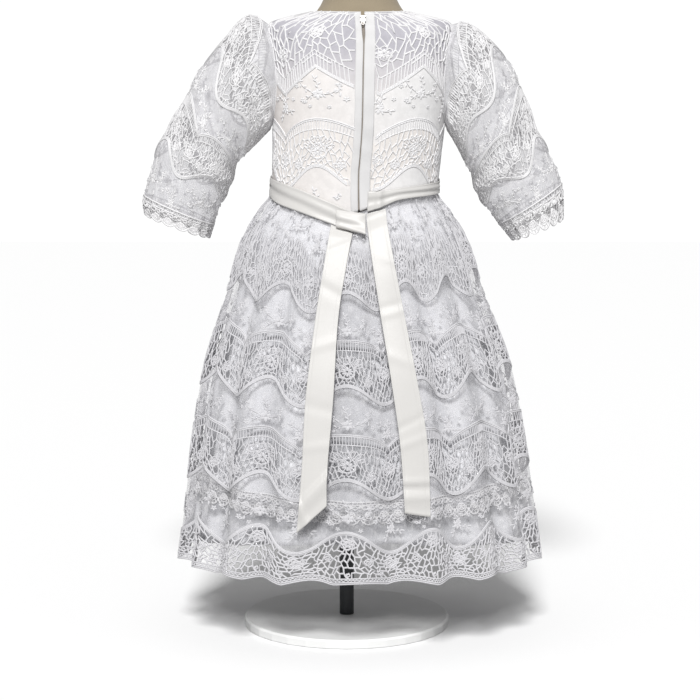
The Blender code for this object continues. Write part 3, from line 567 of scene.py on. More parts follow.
class Chart:
    """One repeat of lace: cords as (x, y, x, y, radius) and leaves as (x, y, turn, length, width)."""

    def __init__(self, width):
        self.width = width
        self.cords = []
        self.leaves = []

    def line(self, points, radius, closed=False):
        points = list(points)
        if closed:
            points.append(points[0])
        for (x0, y0), (x1, y1) in zip(points, points[1:]):
            self.cords.append((x0, y0, x1, y1, radius))

    def across(self, height, radius, steps=24):
        """A cord right across the repeat, at height(x)."""
        xs = [self.width * k / steps for k in range(steps + 1)]
        self.line([(x, height(x)) for x in xs], radius)

    def cable(self, height, shifts, radius, steps=24):
        """Cords side by side right across the repeat."""
        for shift in shifts:
            self.across(lambda x: height(x) + shift, radius, steps)

    def ring(self, x, y, across, radius, sides=8):
        turns = [2 * math.pi * k / sides for k in range(sides)]
        self.line([turned(x, y, turn, across / 2) for turn in turns], radius, closed=True)

    def leaf(self, x, y, turn, length, width):
        self.leaves.append((x, y, turn, length, width))

    def petal_loop(self, x, y, turn, length, width, radius):
        """A loop of cord that starts and ends at one point."""
        outline = ((0, 0), (0.35, 0.42), (0.75, 0.5), (1, 0), (0.75, -0.5), (0.35, -0.42))
        self.line([turned(x, y, turn, length * a, width * b) for a, b in outline], radius, closed=True)

    def flower(self, x, y, size, petals, radius):
        """Loops of cord round a ring, each with a little filling at its foot."""
        for k in range(petals):
            angle = 2 * math.pi * k / petals
            self.leaf(*turned(x, y, angle, size * 0.24), angle, size * 0.28, size * 0.18)
            self.petal_loop(*turned(x, y, angle, size * 0.1), angle, size * 0.52, size * 0.42, radius)
        self.ring(x, y, size * 0.24, radius, 6)

    def blossom(self, x, y, size, petals):
        """A small closed flower of flat stitches."""
        for k in range(petals):
            angle = 2 * math.pi * k / petals
            self.leaf(*turned(x, y, angle, size * 0.3), angle, size * 0.5, size * 0.32)

    def spray(self, x, y, turn, length, leaves, leaf_length, radius):
        """A curved stem with a leaf on each side in turn and one at its tip."""
        bend = 0.5
        steps = [k / leaves for k in range(leaves + 1)]
        stem = [turned(x, y, turn + bend * t, length * t) for t in steps]
        self.line(stem, radius)
        for k in range(1, leaves + 1):
            side = 1 if k % 2 else -1
            angle = turn + bend * k / leaves + side * 0.9
            foot = turned(*stem[k - 1], angle, leaf_length * 0.5)
            self.leaf(*foot, angle, leaf_length, leaf_length * 0.42)
        self.leaf(*stem[-1], turn + bend, leaf_length * 1.1, leaf_length * 0.45)

    def ground(self, top, bottom, cells, shares, radius, chance, jitter, gaps, clear=()):
        """Uneven honeycomb of cords between two lines, open round the places to keep clear.

        It closes on itself across the repeat. The shares place its rows between the lines.
        """
        rows = len(shares)
        columns = 2 * cells
        moves = [[(chance.uniform(-1, 1), chance.uniform(-1, 1)) for _ in range(columns)]
                 for _ in range(rows)]
        cell = self.width / cells

        def node(c, r):
            dx, dy = moves[r][c % columns]
            edge = r in (0, rows - 1)
            x = self.width * c / columns + dx * jitter * cell
            low, high = top(x), bottom(x)
            step = (shares[min(r + 1, rows - 1)] - shares[max(r - 1, 0)]) / 2
            zig = 0 if edge else (0.22 if (c + r) % 2 else -0.22) * step
            share = shares[r] + zig + (0 if edge else dy * jitter * step)
            y = mix(low, high, share)
            for cx, cy, reach in clear:
                for shift in (-self.width, 0, self.width):
                    away = math.hypot(x - cx - shift, y - cy)
                    if 1e-6 < away < reach and not edge:
                        x = cx + shift + (x - cx - shift) * reach / away
                        y = cy + (y - cy) * reach / away
            return x, y

        for r in range(rows):
            for c in range(columns):
                if 0 < r < rows - 1 and chance.random() > gaps:
                    self.line([node(c, r), node(c + 1, r)], radius)
                if r < rows - 1 and (c + r) % 2 and chance.random() > gaps * 0.5:
                    self.line([node(c, r), node(c, r + 1)], radius)


def band_chart(chance, cord, gimp, cells=19, ladder=True):
    """The openwork band: an arch over a ladder, then long slits, flowers and an uneven ground."""
    chart = Chart(REPEAT_WIDTH)
    width = REPEAT_WIDTH
    if ladder:
        chart.cable(arch, (-0.0009, 0.0009), gimp * 0.8)
        chart.across(lower_arch, gimp * 0.7)
        for k in range(LADDER_TICKS):
            x = width * (k + 0.5) / LADDER_TICKS
            lean = (x / width - 0.5) * 0.004
            chart.line([(x, arch(x)), (x - lean, lower_arch(x))], cord * 0.8)
    flowers = ((width * 0.5, 0.0335, 0.0078), (0.0, 0.0430, 0.0070), (width * 0.24, 0.0480, 0.0046),
               (width * 0.76, 0.0480, 0.0046))
    rows = (0, 0.22, 0.42, 0.58, 0.74, 0.88, 1)
    chart.ground(lower_arch if ladder else arch, wave, cells, rows, cord, chance, 0.30, 0.05, flowers)
    for x, y, size in flowers:
        chart.flower(x, y, size * 1.9, 6 if size > 0.006 else 5, cord * 0.9)
    for k in range(7):
        angle = math.pi + 1.2 - 0.4 * k
        chart.petal_loop(*turned(width * 0.5, 0.0335, angle, 0.0095), angle, 0.0080, 0.0036, cord)
    chart.cable(wave, (-0.0013, 0.0, 0.0013), gimp * 0.8)
    return chart


def yoke_chart(chance, cord, gimp):
    """The yoke: large rounded cells, then a fan of long slits down to a pointed wave."""
    chart = Chart(REPEAT_WIDTH)
    width = REPEAT_WIDTH

    def fan(x):
        return yoke_wave(x) - YOKE_FAN

    flowers = ((width * 0.5, 0.0270, 0.0060), (width * 0.02, 0.0500, 0.0066))
    rows = (0, 0.12, 0.26, 0.40, 0.55, 0.70, 0.85, 1)
    chart.ground(lambda x: -0.006, fan, 12, rows, cord * 1.35, chance, 0.34, 0.03, flowers)
    chart.ground(fan, yoke_wave, 26, (0, 1), cord * 1.15, chance, 0.22, 0.0)
    for x, y, size in flowers:
        chart.flower(x, y, size * 1.9, 6, cord * 1.15)
    chart.across(fan, cord * 1.1, 36)
    chart.cable(yoke_wave, (-0.0012, 0.0, 0.0012), gimp * 0.75, 36)
    peak = [width * (0.33 + 0.34 * k / 12) for k in range(13)]
    chart.line([(x, yoke_wave(x) - 0.0125) for x in peak], gimp * 0.9)
    return chart


def spray_chart(cord):
    """Small sprigs scattered on the plain net between two bands of openwork."""
    chart = Chart(REPEAT_WIDTH)
    width = REPEAT_WIDTH
    sprigs = (
        (0.50, 0.0200, math.pi - 0.3, 0.019, 6), (0.50, 0.0200, -1.5, 0.017, 5),
        (0.52, 0.0200, 1.3, 0.017, 5), (0.03, 0.0360, math.pi + 0.3, 0.019, 6),
        (0.97, 0.0360, math.pi - 0.8, 0.015, 4), (0.00, 0.0370, 1.0, 0.013, 4),
        (0.00, 0.0370, -1.0, 0.013, 4), (0.27, 0.0060, 0.3, 0.015, 4), (0.76, 0.0060, -0.6, 0.015, 4),
    )
    blossoms = (
        (0.50, 0.0205, 0.0105, 6), (0.0, 0.0365, 0.0095, 6), (0.22, 0.0120, 0.0050, 5),
        (0.30, 0.0270, 0.0056, 5), (0.74, 0.0110, 0.0050, 5), (0.80, 0.0260, 0.0056, 5),
        (0.15, 0.0260, 0.0046, 5), (0.40, 0.0330, 0.0044, 5), (0.63, 0.0340, 0.0044, 5),
    )
    for x, y, turn, length, leaves in sprigs:
        chart.spray(width * x, SPRAY_TOP + y, turn, length, leaves, 0.0044, cord * 0.6)
    for x, y, size, petals in blossoms:
        chart.blossom(width * x, SPRAY_TOP + y, size, petals)
    return chart


def hem_chart(chance, cord, gimp):
    """The hem's band: a waved gimp, large uneven cells with flowers and rings, and a double edge."""
    chart = Chart(REPEAT_WIDTH)
    width = REPEAT_WIDTH

    def below(height):
        return lambda x: HEM_EDGE - height

    chart.cable(hem_cord, (-0.0015, 0.0015), gimp * 0.8)
    chart.across(hem_cord, gimp)
    flowers = ((0.0, 0.0370, 0.0058), (width * 0.5, 0.0120, 0.0058), (width * 0.30, 0.0300, 0.0040),
               (width * 0.70, 0.0330, 0.0040))
    rows = (0, 0.15, 0.30, 0.44, 0.58, 0.72, 0.86, 1)
    chart.ground(lambda x: hem_cord(x) + 0.0014, below(0.0065), 17, rows, cord * 1.3, chance, 0.38, 0.08,
                 flowers)
    chart.ground(below(0.0065), below(0.0022), 26, (0, 0.5, 1), cord * 0.8, chance, 0.16, 0.0)
    for x, y, size in flowers[:2]:
        chart.flower(x, y, size * 1.9, 7, cord)
    for x, y, size in flowers[2:]:
        chart.ring(x, y, size * 1.7, cord * 1.1, 10)
        chart.ring(x, y, size * 0.8, cord * 0.9, 8)
    for k in range(3):
        chart.ring(width * (0.14 + 0.36 * k), 0.0490, 0.0042, cord, 7)
    chart.across(below(0.0065), cord * 1.1)
    chart.across(below(0.0022), gimp * 0.7)
    chart.across(below(0.0003), gimp * 0.7)
    return chart


def edging_chart(cord):
    """One scallop of guipure edging, made of rings: y runs from its straight top to its tip."""
    width, height = EDGING_WIDTH, EDGING_HEIGHT
    chart = Chart(width)

    def rim(angle):
        return width / 2 - width / 2 * math.cos(angle), height * (0.66 + 0.34 * math.sin(angle))

    def inside(x, y):
        return width / 2 + (x - width / 2) * 0.72, 0.004 + (y - 0.004) * 0.80

    scallop = [rim(math.pi * k / 8) for k in range(9)]
    chart.line(scallop, cord * 1.3)
    chart.line([inside(x, y) for x, y in scallop], cord)
    chart.ring(width / 2, height * 0.60, 0.0066, cord * 1.2, 10)
    chart.flower(width / 2, height * 0.60, 0.0058, 5, cord * 0.8)
    for x in (0.0, width):
        chart.ring(x, height * 0.50, 0.0040, cord * 0.9, 7)
    chart.ring(width * 0.28, height * 0.26, 0.0046, cord, 8)
    chart.ring(width * 0.74, height * 0.28, 0.0038, cord, 7)
    chart.leaf(width * 0.52, height * 0.20, 0.4, 0.0050, 0.0024)
    chart.leaf(width * 0.02, height * 0.22, -0.5, 0.0046, 0.0022)
    for k in range(5):
        tip = rim(math.pi * (k + 0.5) / 5)
        chart.line([tip, inside(*tip)], cord * 0.9)
    chart.across(lambda x: 0.0006, cord * 1.3, 3)
    chart.across(lambda x: 0.0034, cord * 0.9, 3)
    for k in range(4):
        x = width * (k + 0.5) / 4
        chart.line([(x, 0.0006), (x, 0.0034)], cord * 0.8)
    return chart


# Meshes

LEAF_SIDES = 8


def add_node(tree, kind, inputs=None, **settings):
    """A node with its settings, its input values and its links."""
    node = tree.nodes.new(kind)
    for name, value in settings.items():
        setattr(node, name, value)
    for key, value in (inputs or {}).items():
        if isinstance(value, bpy.types.NodeSocket):
            tree.links.new(value, node.inputs[key])
        else:
            node.inputs[key].default_value = value
    return node


def add_piece(name, mesh, material):
    obj = bpy.data.objects.new(name, mesh)
    if not mesh.materials:
        mesh.materials.append(material)
    bpy.context.scene.collection.objects.link(obj)
    return obj


def place_piece(obj, nodes=()):
    """Sets a finished piece on its body and hides the solids that it stands for."""
    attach(obj, BODY)
    if nodes:
        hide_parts(*nodes)
    return obj


def coat_solid(node, material):
    """Gives a solid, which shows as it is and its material."""
    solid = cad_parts[node]
    for place in solid.material_slots:
        place.material = material


def grid_mesh(name, columns, rows, place, closed=False, flipped=False, keep=None, marks=None):
    """A fine grid bent by place(u, w), moved to where the dress hangs."""
    bm = bmesh.new()
    # The marks go to the attribute openwork: openwork zones, and on the skirt's lining its share of painted
    # shade
    mark = bm.verts.layers.float.new("openwork") if marks else None
    count = columns if closed else columns + 1
    grid = []
    for r in range(rows + 1):
        line = []
        for c in range(count):
            u, w = c / columns, r / rows
            point = place(u, w)
            vertex = bm.verts.new((point.x + DRESS_OFFSET, point.y, point.z))
            if marks:
                vertex[mark] = marks(u, w)
            line.append(vertex)
        grid.append(line)
    for r in range(rows):
        for c in range(columns):
            if keep and not keep((c + 0.5) / columns, (r + 0.5) / rows):
                continue
            d = (c + 1) % count
            corners = (grid[r][c], grid[r][d], grid[r + 1][d], grid[r + 1][c])
            bm.faces.new(tuple(reversed(corners)) if flipped else corners)
    bmesh.ops.delete(bm, geom=[v for v in bm.verts if not v.link_faces], context="VERTS")
    mesh = bpy.data.meshes.new(name)
    bm.to_mesh(mesh)
    bm.free()
    mesh.shade_smooth()
    return mesh


def keep_result(obj):
    """Turns an object's modifiers into its plain mesh."""
    evaluated = obj.evaluated_get(bpy.context.evaluated_depsgraph_get())
    mesh = bpy.data.meshes.new_from_object(evaluated)
    mesh.name = obj.name
    obj.modifiers.clear()
    obj.data = mesh


def cloth_piece(name, mesh, material, nodes=(), wall=0.0):
    """A cloth from its mesh, thickened inward where it has a wall, and set on its body."""
    obj = add_piece(name, mesh, material)
    if wall:
        thicken = obj.modifiers.new("Wall", "SOLIDIFY")
        thicken.thickness = wall
        thicken.offset = -1
        keep_result(obj)
    return place_piece(obj, nodes)


def cord_tree():
    """Geometry Nodes that turn a net of edges into round cords, each as thick as its point says."""
    tree = bpy.data.node_groups.new("lace_cords", "GeometryNodeTree")
    inputs = {"Geometry": "Geometry", "Thickness": "Float", "Sides": "Int", "Material": "Material"}
    for name, kind in inputs.items():
        tree.interface.new_socket(name, in_out="INPUT", socket_type=f"NodeSocket{kind}")
    tree.interface.new_socket("Geometry", in_out="OUTPUT", socket_type="NodeSocketGeometry")
    given = add_node(tree, "NodeGroupInput")
    curves = add_node(tree, "GeometryNodeMeshToCurve", {"Mesh": given.outputs["Geometry"]})
    profile = add_node(tree, "GeometryNodeCurvePrimitiveCircle",
                       {"Resolution": given.outputs["Sides"], "Radius": 1.0}, mode="RADIUS")
    radius = add_node(tree, "GeometryNodeInputNamedAttribute", {"Name": "cord_radius"}, data_type="FLOAT")
    scale = add_node(tree, "ShaderNodeMath", {0: radius.outputs["Attribute"], 1: given.outputs["Thickness"]},
                     operation="MULTIPLY")
    tubes = add_node(tree, "GeometryNodeCurveToMesh", {
        "Curve": curves.outputs["Curve"], "Profile Curve": profile.outputs["Curve"],
        "Scale": scale.outputs["Value"], "Fill Caps": True})
    smooth = add_node(tree, "GeometryNodeSetShadeSmooth", {"Geometry": tubes.outputs["Mesh"]})
    whole = add_node(tree, "GeometryNodeRealizeInstances", {"Geometry": smooth.outputs["Geometry"]})
    done = add_node(tree, "GeometryNodeSetMaterial", {"Geometry": whole.outputs["Geometry"],
                                                        "Material": given.outputs["Material"]})
    add_node(tree, "NodeGroupOutput", {"Geometry": done.outputs["Geometry"]})
    return tree


def set_input(modifier, name, value):
    """Sets a Geometry Nodes modifier's input by its socket's identifier."""
    for item in modifier.node_group.interface.items_tree:
        if item.item_type == "SOCKET" and item.in_out == "INPUT" and item.name == name:
            modifier[item.identifier] = value


def thread_piece(name, cords, leaves, material, nodes=()):
    """Cords as (point, point, radius) and leaves as (outline, centre), made one piece of thread."""
    lace = bpy.context.scene.dress_lace
    index, points, edges, radii = {}, [], [], []

    def number(point, radius):
        key = (round(point.x, 5), round(point.y, 5), round(point.z, 5), round(radius, 5))
        if key not in index:
            index[key] = len(points)
            points.append((point.x + DRESS_OFFSET, point.y, point.z))
            radii.append(radius)
        return index[key]

    for first, last, radius in cords:
        a, b = number(first, radius), number(last, radius)
        if a != b:
            edges.append((a, b))
    mesh = bpy.data.meshes.new(name)
    mesh.from_pydata(points, edges, [])
    attribute = mesh.attributes.new("cord_radius", "FLOAT", "POINT")
    attribute.data.foreach_set("value", radii)
    obj = add_piece(name, mesh, material)
    modifier = obj.modifiers.new("Cords", "NODES")
    modifier.node_group = bpy.data.node_groups.get("lace_cords") or cord_tree()
    set_input(modifier, "Thickness", lace.thickness)
    set_input(modifier, "Sides", lace.sides)
    set_input(modifier, "Material", material)
    keep_result(obj)
    bm = bmesh.new()
    bm.from_mesh(obj.data)
    for outline, centre in leaves:
        rim = [bm.verts.new((p.x + DRESS_OFFSET, p.y, p.z)) for p in outline]
        middle = bm.verts.new((centre.x + DRESS_OFFSET, centre.y, centre.z))
        for k, vertex in enumerate(rim):
            face = bm.faces.new((vertex, rim[(k + 1) % len(rim)], middle))
            face.smooth = True
    bm.to_mesh(obj.data)
    bm.free()
    return place_piece(obj, nodes)


def lay_chart(chart, surface, lift, wanted, cords, leaves):
    """Adds a chart's cords and leaves, laid on surface(x, y, lift) where wanted(x, y) is true."""
    for x0, y0, x1, y1, radius in chart.cords:
        if wanted((x0 + x1) / 2, (y0 + y1) / 2):
            cords.append((surface(x0, y0, lift), surface(x1, y1, lift), radius))
    for x, y, turn, length, width in chart.leaves:
        if not wanted(x, y):
            continue
        outline = []
        for k in range(LEAF_SIDES):
            a = 2 * math.pi * k / LEAF_SIDES
            rim = turned(x, y, turn, math.cos(a) * length / 2, math.sin(a) * width / 2)
            outline.append(surface(*rim, lift * 0.5))
        leaves.append((outline, surface(x, y, lift * 2.2)))


# Materials

WAVE_LENGTHS = 3.2                       # bands of a wave texture in one unit of its scale


def new_material(name, colour, roughness, sheen=0.0):
    """A material of one Principled shader, with its tree and that shader."""
    material = bpy.data.materials.new(name)
    material.use_nodes = True
    tree = material.node_tree
    shader = tree.nodes["Principled BSDF"]
    shader.inputs["Base Color"].default_value = colour
    shader.inputs["Roughness"].default_value = roughness
    shader.inputs["Sheen Weight"].default_value = sheen
    return material, tree, shader


def own_coords(tree):
    """Coordinates of the piece itself, in metres."""
    return add_node(tree, "ShaderNodeTexCoord").outputs["Object"]


def noise(tree, coords, size, detail=2.0, roughness=0.5):
    """Cloudy noise in patches of a size in metres."""
    return add_node(tree, "ShaderNodeTexNoise", {"Vector": coords, "Scale": 1 / size, "Detail": detail,
                                                 "Roughness": roughness}).outputs["Fac"]


def from_to(tree, value, low, high, to_low=0.0, to_high=1.0):
    """A value's range made another range."""
    ends = {"Value": value, "From Min": low, "From Max": high, "To Min": to_low, "To Max": to_high}
    return add_node(tree, "ShaderNodeMapRange", ends).outputs["Result"]


def blend(tree, share, first, second):
    """One colour turning into another."""
    return add_node(tree, "ShaderNodeMix", {0: share, 6: first, 7: second}, data_type="RGBA").outputs[2]


def reckon(tree, operation, *values):
    """A sum or product of values, held between 0 and 1 where it is added up."""
    return add_node(tree, "ShaderNodeMath", dict(enumerate(values)), operation=operation,
                    use_clamp=operation != "MULTIPLY").outputs["Value"]


def openwork_and_painted_shade(tree):
    """What grid_mesh's marks say: 1 where the cloth lies behind openwork, and on the skirt's lining, its
    share of painted shade.
    """
    return add_node(tree, "ShaderNodeAttribute", attribute_name="openwork").outputs["Fac"]


def drawn_out(tree, coords, share):
    """Coordinates that stretch a pattern upright, as a cloth's folds do."""
    mapping = add_node(tree, "ShaderNodeMapping", {"Vector": coords, "Scale": (1.0, 1.0, share)})
    return mapping.outputs["Vector"]


def stand_out(tree, shader, height, strength, distance):
    """Bump, as deep as a distance in metres."""
    bump = add_node(tree, "ShaderNodeBump", {"Height": height, "Strength": strength, "Distance": distance})
    tree.links.new(bump.outputs["Normal"], shader.inputs["Normal"])


def shade(colour, share):
    """A colour with its light multiplied."""
    return (*(value * share for value in colour[:3]), 1.0)


def tone(tree, shader, coords, colour, spread, size):
    """Uneven colour: its light varies by a share each way, in patches of a size in metres."""
    dark, light = shade(colour, 1 - spread), shade(colour, 1 + spread)
    patches = blend(tree, noise(tree, coords, size, 3.0), dark, light)
    tree.links.new(patches, shader.inputs["Base Color"])
    return patches


def weave(tree, shader, coords, thread, depth):
    """Crossed threads as bump, a thread's width apart."""
    heights = []
    for direction in ("X", "Z"):
        bands = add_node(tree, "ShaderNodeTexWave", {
            "Vector": coords, "Scale": 1 / thread / WAVE_LENGTHS, "Distortion": 0.6, "Detail": 1.0,
        }, bands_direction=direction)
        heights.append(bands.outputs["Fac"])
    both = add_node(tree, "ShaderNodeMath", dict(enumerate(heights)), operation="ADD")
    stand_out(tree, shader, both.outputs["Value"], 0.35, depth)


def woven(name, colour, roughness, sheen, patches, threads):
    """A woven cloth: its colour's spread and the patches' size, its threads' width and their depth."""
    material, tree, shader = new_material(name, colour, roughness, sheen)
    coords = own_coords(tree)
    tone(tree, shader, coords, colour, *patches)
    weave(tree, shader, coords, *threads)
    return material, shader


def cotton_cord(name, colour):
    """Mercerised cotton cord: matt white thread whose twist breaks up the light."""
    material, tree, shader = new_material(name, colour, 0.72, sheen=0.25)
    shader.inputs["Sheen Roughness"].default_value = 0.4
    coords = own_coords(tree)
    tone(tree, shader, coords, colour, 0.04, 0.030)
    stand_out(tree, shader, noise(tree, coords, 0.0008), 0.5, 0.0003)
    return material


def tulle(name, colours, cover):
    """Fine polyester tulle: a see-through haze in 1.6 mm cells, streaked by gathers, with darned clouds."""
    material, tree, shader = new_material(name, colours.net[:], 0.8, sheen=0.2)
    coords = own_coords(tree)
    cells = add_node(tree, "ShaderNodeTexVoronoi", {"Vector": coords, "Scale": 1 / 0.0016, "Randomness": 1.0},
                     feature="DISTANCE_TO_EDGE")
    threads = from_to(tree, cells.outputs["Distance"], 0.0, 0.30, cover + 0.10, cover - 0.06)
    pulls = from_to(tree, noise(tree, drawn_out(tree, coords, 0.07), 0.006), 0.3, 0.7, -0.08, 0.08)
    plain = reckon(tree, "ADD", threads, pulls)
    darned = from_to(tree, noise(tree, coords, 0.0065, 4.0, 0.7), 0.48, 0.72)
    whole = reckon(tree, "MULTIPLY_ADD", darned, 0.18, plain)
    thinned = from_to(tree, openwork_and_painted_shade(tree), 0.0, 1.0, 1.0, 0.5)
    tree.links.new(reckon(tree, "MULTIPLY", whole, thinned), shader.inputs["Alpha"])
    tree.links.new(blend(tree, darned, colours.net[:], colours.cotton[:]), shader.inputs["Base Color"])
    return material


def lining_cloth(name, colours):
    """Polycotton lining: a plain cool weave with painted fold shade in upright streaks, and painted grey
    shade under its open edging, in its folds' valleys and between the sash's tails.
    """
    material, tree, shader = new_material(name, colours.lining[:], 0.75, sheen=0.1)
    coords = own_coords(tree)
    # Painted shade of the folds, as upright streaks of darker and lighter colour
    folds = tone(tree, shader, drawn_out(tree, coords, 0.06), colours.lining[:], 0.16, 0.009)
    # Painted shade where the marks ask for it, in the shadow colour
    shaded = blend(tree, openwork_and_painted_shade(tree), folds, colours.shadow[:])
    tree.links.new(shaded, shader.inputs["Base Color"])
    weave(tree, shader, coords, 0.0007, 0.0002)
    return material


def facing_cloth(name, colours):
    """Cotton facing of the zip: a plain matt white band with a faint weave."""
    return woven(name, colours.facing[:], 0.78, 0.1, (0.04, 0.012), (0.0009, 0.0003))[0]


def mounted_ground(name, colours):
    """Lining under the bodice's lace: warm where net covers it, and a painted grey shade where openwork lies
    over it, darkest at the yoke.
    """
    material, tree, shader = new_material(name, colours.facing[:], 0.8)
    coords = own_coords(tree)
    place = add_node(tree, "ShaderNodeSeparateXYZ", {"Vector": coords}).outputs
    net = blend(tree, from_to(tree, place["X"], -0.06, 0.09), srgb("#EAE5E2"), srgb("#EDECEC"))
    # Painted shade in the openwork's holes: pale low down, grey-lilac at the yoke
    painted_hole_shade = blend(tree, from_to(tree, place["Z"], 0.56, 0.64), srgb("#ECE7E3"), srgb("#B7B5BC"))
    both = blend(tree, openwork_and_painted_shade(tree), net, painted_hole_shade)
    darned = from_to(tree, noise(tree, coords, 0.008, 4.0, 0.65), 0.42, 0.62, 0.95, 1.02)
    stitched = add_node(tree, "ShaderNodeVectorMath", {0: both, "Scale": darned}, operation="SCALE")
    tree.links.new(stitched.outputs["Vector"], shader.inputs["Base Color"])
    weave(tree, shader, coords, 0.0009, 0.0002)
    return material


def satin(name, colours):
    """Polyester satin: smooth floats of bright thread, so that folds catch long soft glints."""
    material, shader = woven(name, colours.satin[:], 0.34, 0.15, (0.03, 0.040), (0.0006, 0.0001))
    shader.inputs["Anisotropic"].default_value = 0.4
    return material


def jersey(name, colours):
    """Cotton jersey cover of the form: matt beige with a faint knit."""
    return woven(name, colours.jersey[:], 0.85, 0.2, (0.07, 0.020), (0.0012, 0.0003))[0]


def zip_tape(name, colours):
    """Coil zip of polyester: taupe grey teeth in a woven tape."""
    material, tree, shader = new_material(name, colours.zip[:], 0.55)
    coords = own_coords(tree)
    tone(tree, shader, coords, colours.zip[:], 0.12, 0.004)
    teeth = add_node(tree, "ShaderNodeTexWave", {"Vector": coords, "Scale": 1 / 0.0012 / WAVE_LENGTHS},
                     bands_direction="Z")
    stand_out(tree, shader, teeth.outputs["Fac"], 0.8, 0.0005)
    return material


def zinc(name, colours):
    """Nickel-plated zinc casting: grey, half bright, softened by handling."""
    material, tree, shader = new_material(name, colours.metal[:], 0.32)
    shader.inputs["Metallic"].default_value = 1.0
    worn = from_to(tree, noise(tree, own_coords(tree), 0.0015), 0.0, 1.0, 0.25, 0.45)
    tree.links.new(worn, shader.inputs["Roughness"])
    return material


def powder_coat(name, colour):
    """Powder-coated steel: even half-matt paint with a fine orange-peel skin."""
    material, tree, shader = new_material(name, colour, 0.42)
    coords = own_coords(tree)
    tone(tree, shader, coords, colour, 0.06, 0.05)
    stand_out(tree, shader, noise(tree, coords, 0.0018), 0.2, 0.0002)
    return material


def finish(name, make, *values):
    """The material of that name, made on first use."""
    return bpy.data.materials.get(name) or make(name, *values)


def cord_finish(hanging=False):
    """Cotton cord, with a darker copy on the skirt: painted shade, since the sloping skirt catches more of
    the light than the bodice.
    """
    colours = bpy.context.scene.dress_finishes
    if hanging:
        return finish("hanging_cotton_cord", cotton_cord, colours.hanging[:])
    return finish("mercerised_cotton_cord", cotton_cord, colours.cotton[:])


# Settings

def colour_setting(name, description, code):
    return bpy.props.FloatVectorProperty(
        name=name, description=description, subtype="COLOR", size=4, default=srgb(code))


class DressLace(bpy.types.PropertyGroup):
    """Threads of the lace and cover of its nets"""
    cord: bpy.props.FloatProperty(
        name="Cord", description="Radius of the fine cords of the openwork",
        default=0.00078, unit="LENGTH", precision=5)
    gimp: bpy.props.FloatProperty(
        name="Gimp", description="Radius of the heavy outlining cords",
        default=0.00115, unit="LENGTH", precision=5)
    thickness: bpy.props.FloatProperty(
        name="Thickness", description="Multiplies the thickness of every cord", default=1.0, subtype="FACTOR")
    sides: bpy.props.IntProperty(name="Sides", description="Sides of a cord's section", default=4, min=3)
    net_cover: bpy.props.FloatProperty(
        name="Net cover", description="How much of what lies behind the skirt's net it hides",
        default=0.27, min=0.15, max=1.0, subtype="FACTOR")
    sleeve_cover: bpy.props.FloatProperty(
        name="Sleeve cover", description="How much of what lies behind the sleeves' net it hides",
        default=0.50, min=0.15, max=1.0, subtype="FACTOR")
    seed: bpy.props.IntProperty(name="Seed", description="Seed of the uneven ground", default=7)


class DressFinishes(bpy.types.PropertyGroup):
    """Colours of the dress, the form and the stand"""
    cotton: colour_setting("Cotton", "Colour of the cords", "#E9E8E9")
    # Painted shade: a darker copy of the cotton for the skirt's cords, which catch more light on the sloping
    # skirt
    hanging: colour_setting("Skirt cotton", "Colour of the skirt's cords", "#D1D0D3")
    net: colour_setting("Net", "Colour of the tulle", "#DCDBDF")
    lining: colour_setting("Lining", "Colour of the skirt's lining", "#EBEBEE")
    # Painted shade that the skirt's lining takes under its edging, in its folds' valleys and between the
    # sash's tails
    shadow: colour_setting("Painted lining shade", "Colour seen through the holes of the lining's edging", "#8F9094")
    facing: colour_setting("Facing", "Colour of the zip's facing", "#DEDDDD")
    satin: colour_setting("Satin", "Colour of the sash", "#D5D3D0")
    jersey: colour_setting("Jersey", "Colour of the form's cover", "#9B8E78")
    zip: colour_setting("Zip", "Colour of the zip's chain", "#9A9187")
    metal: colour_setting("Metal", "Colour of the slider and its tab", "#5C5A58")
    pole: colour_setting("Pole", "Colour of the stand's pole", "#25282C")
    base: colour_setting("Base", "Colour of the stand's base", "#F2F2F1")


class DressStage(bpy.types.PropertyGroup):
    """Camera and light"""
    camera: bpy.props.FloatVectorProperty(
        name="Camera", description="Place of the camera", subtype="XYZ", unit="LENGTH",
        default=(0.0037, -2.2, 0.587))
    tilt: bpy.props.FloatProperty(
        name="Tilt", description="How far the camera looks down", unit="ROTATION", default=math.radians(7.2))
    lens: bpy.props.FloatProperty(name="Lens", description="Focal length in millimetres", default=102.86)
    sky: bpy.props.FloatProperty(name="Sky", description="Strength of the even light", default=0.28)
    key: bpy.props.FloatProperty(
        name="Key", description="Strength of the main light in watts a square metre", default=3.30)
    key_height: bpy.props.FloatProperty(
        name="Key height", description="Height of the main light over the floor", unit="ROTATION",
        default=math.radians(46))
    key_turn: bpy.props.FloatProperty(
        name="Key turn", description="How far the main light stands to the side", unit="ROTATION",
        default=math.radians(-4))
    key_softness: bpy.props.FloatProperty(
        name="Key softness", description="Angle that the main light fills", unit="ROTATION",
        default=math.radians(14))


# Operators

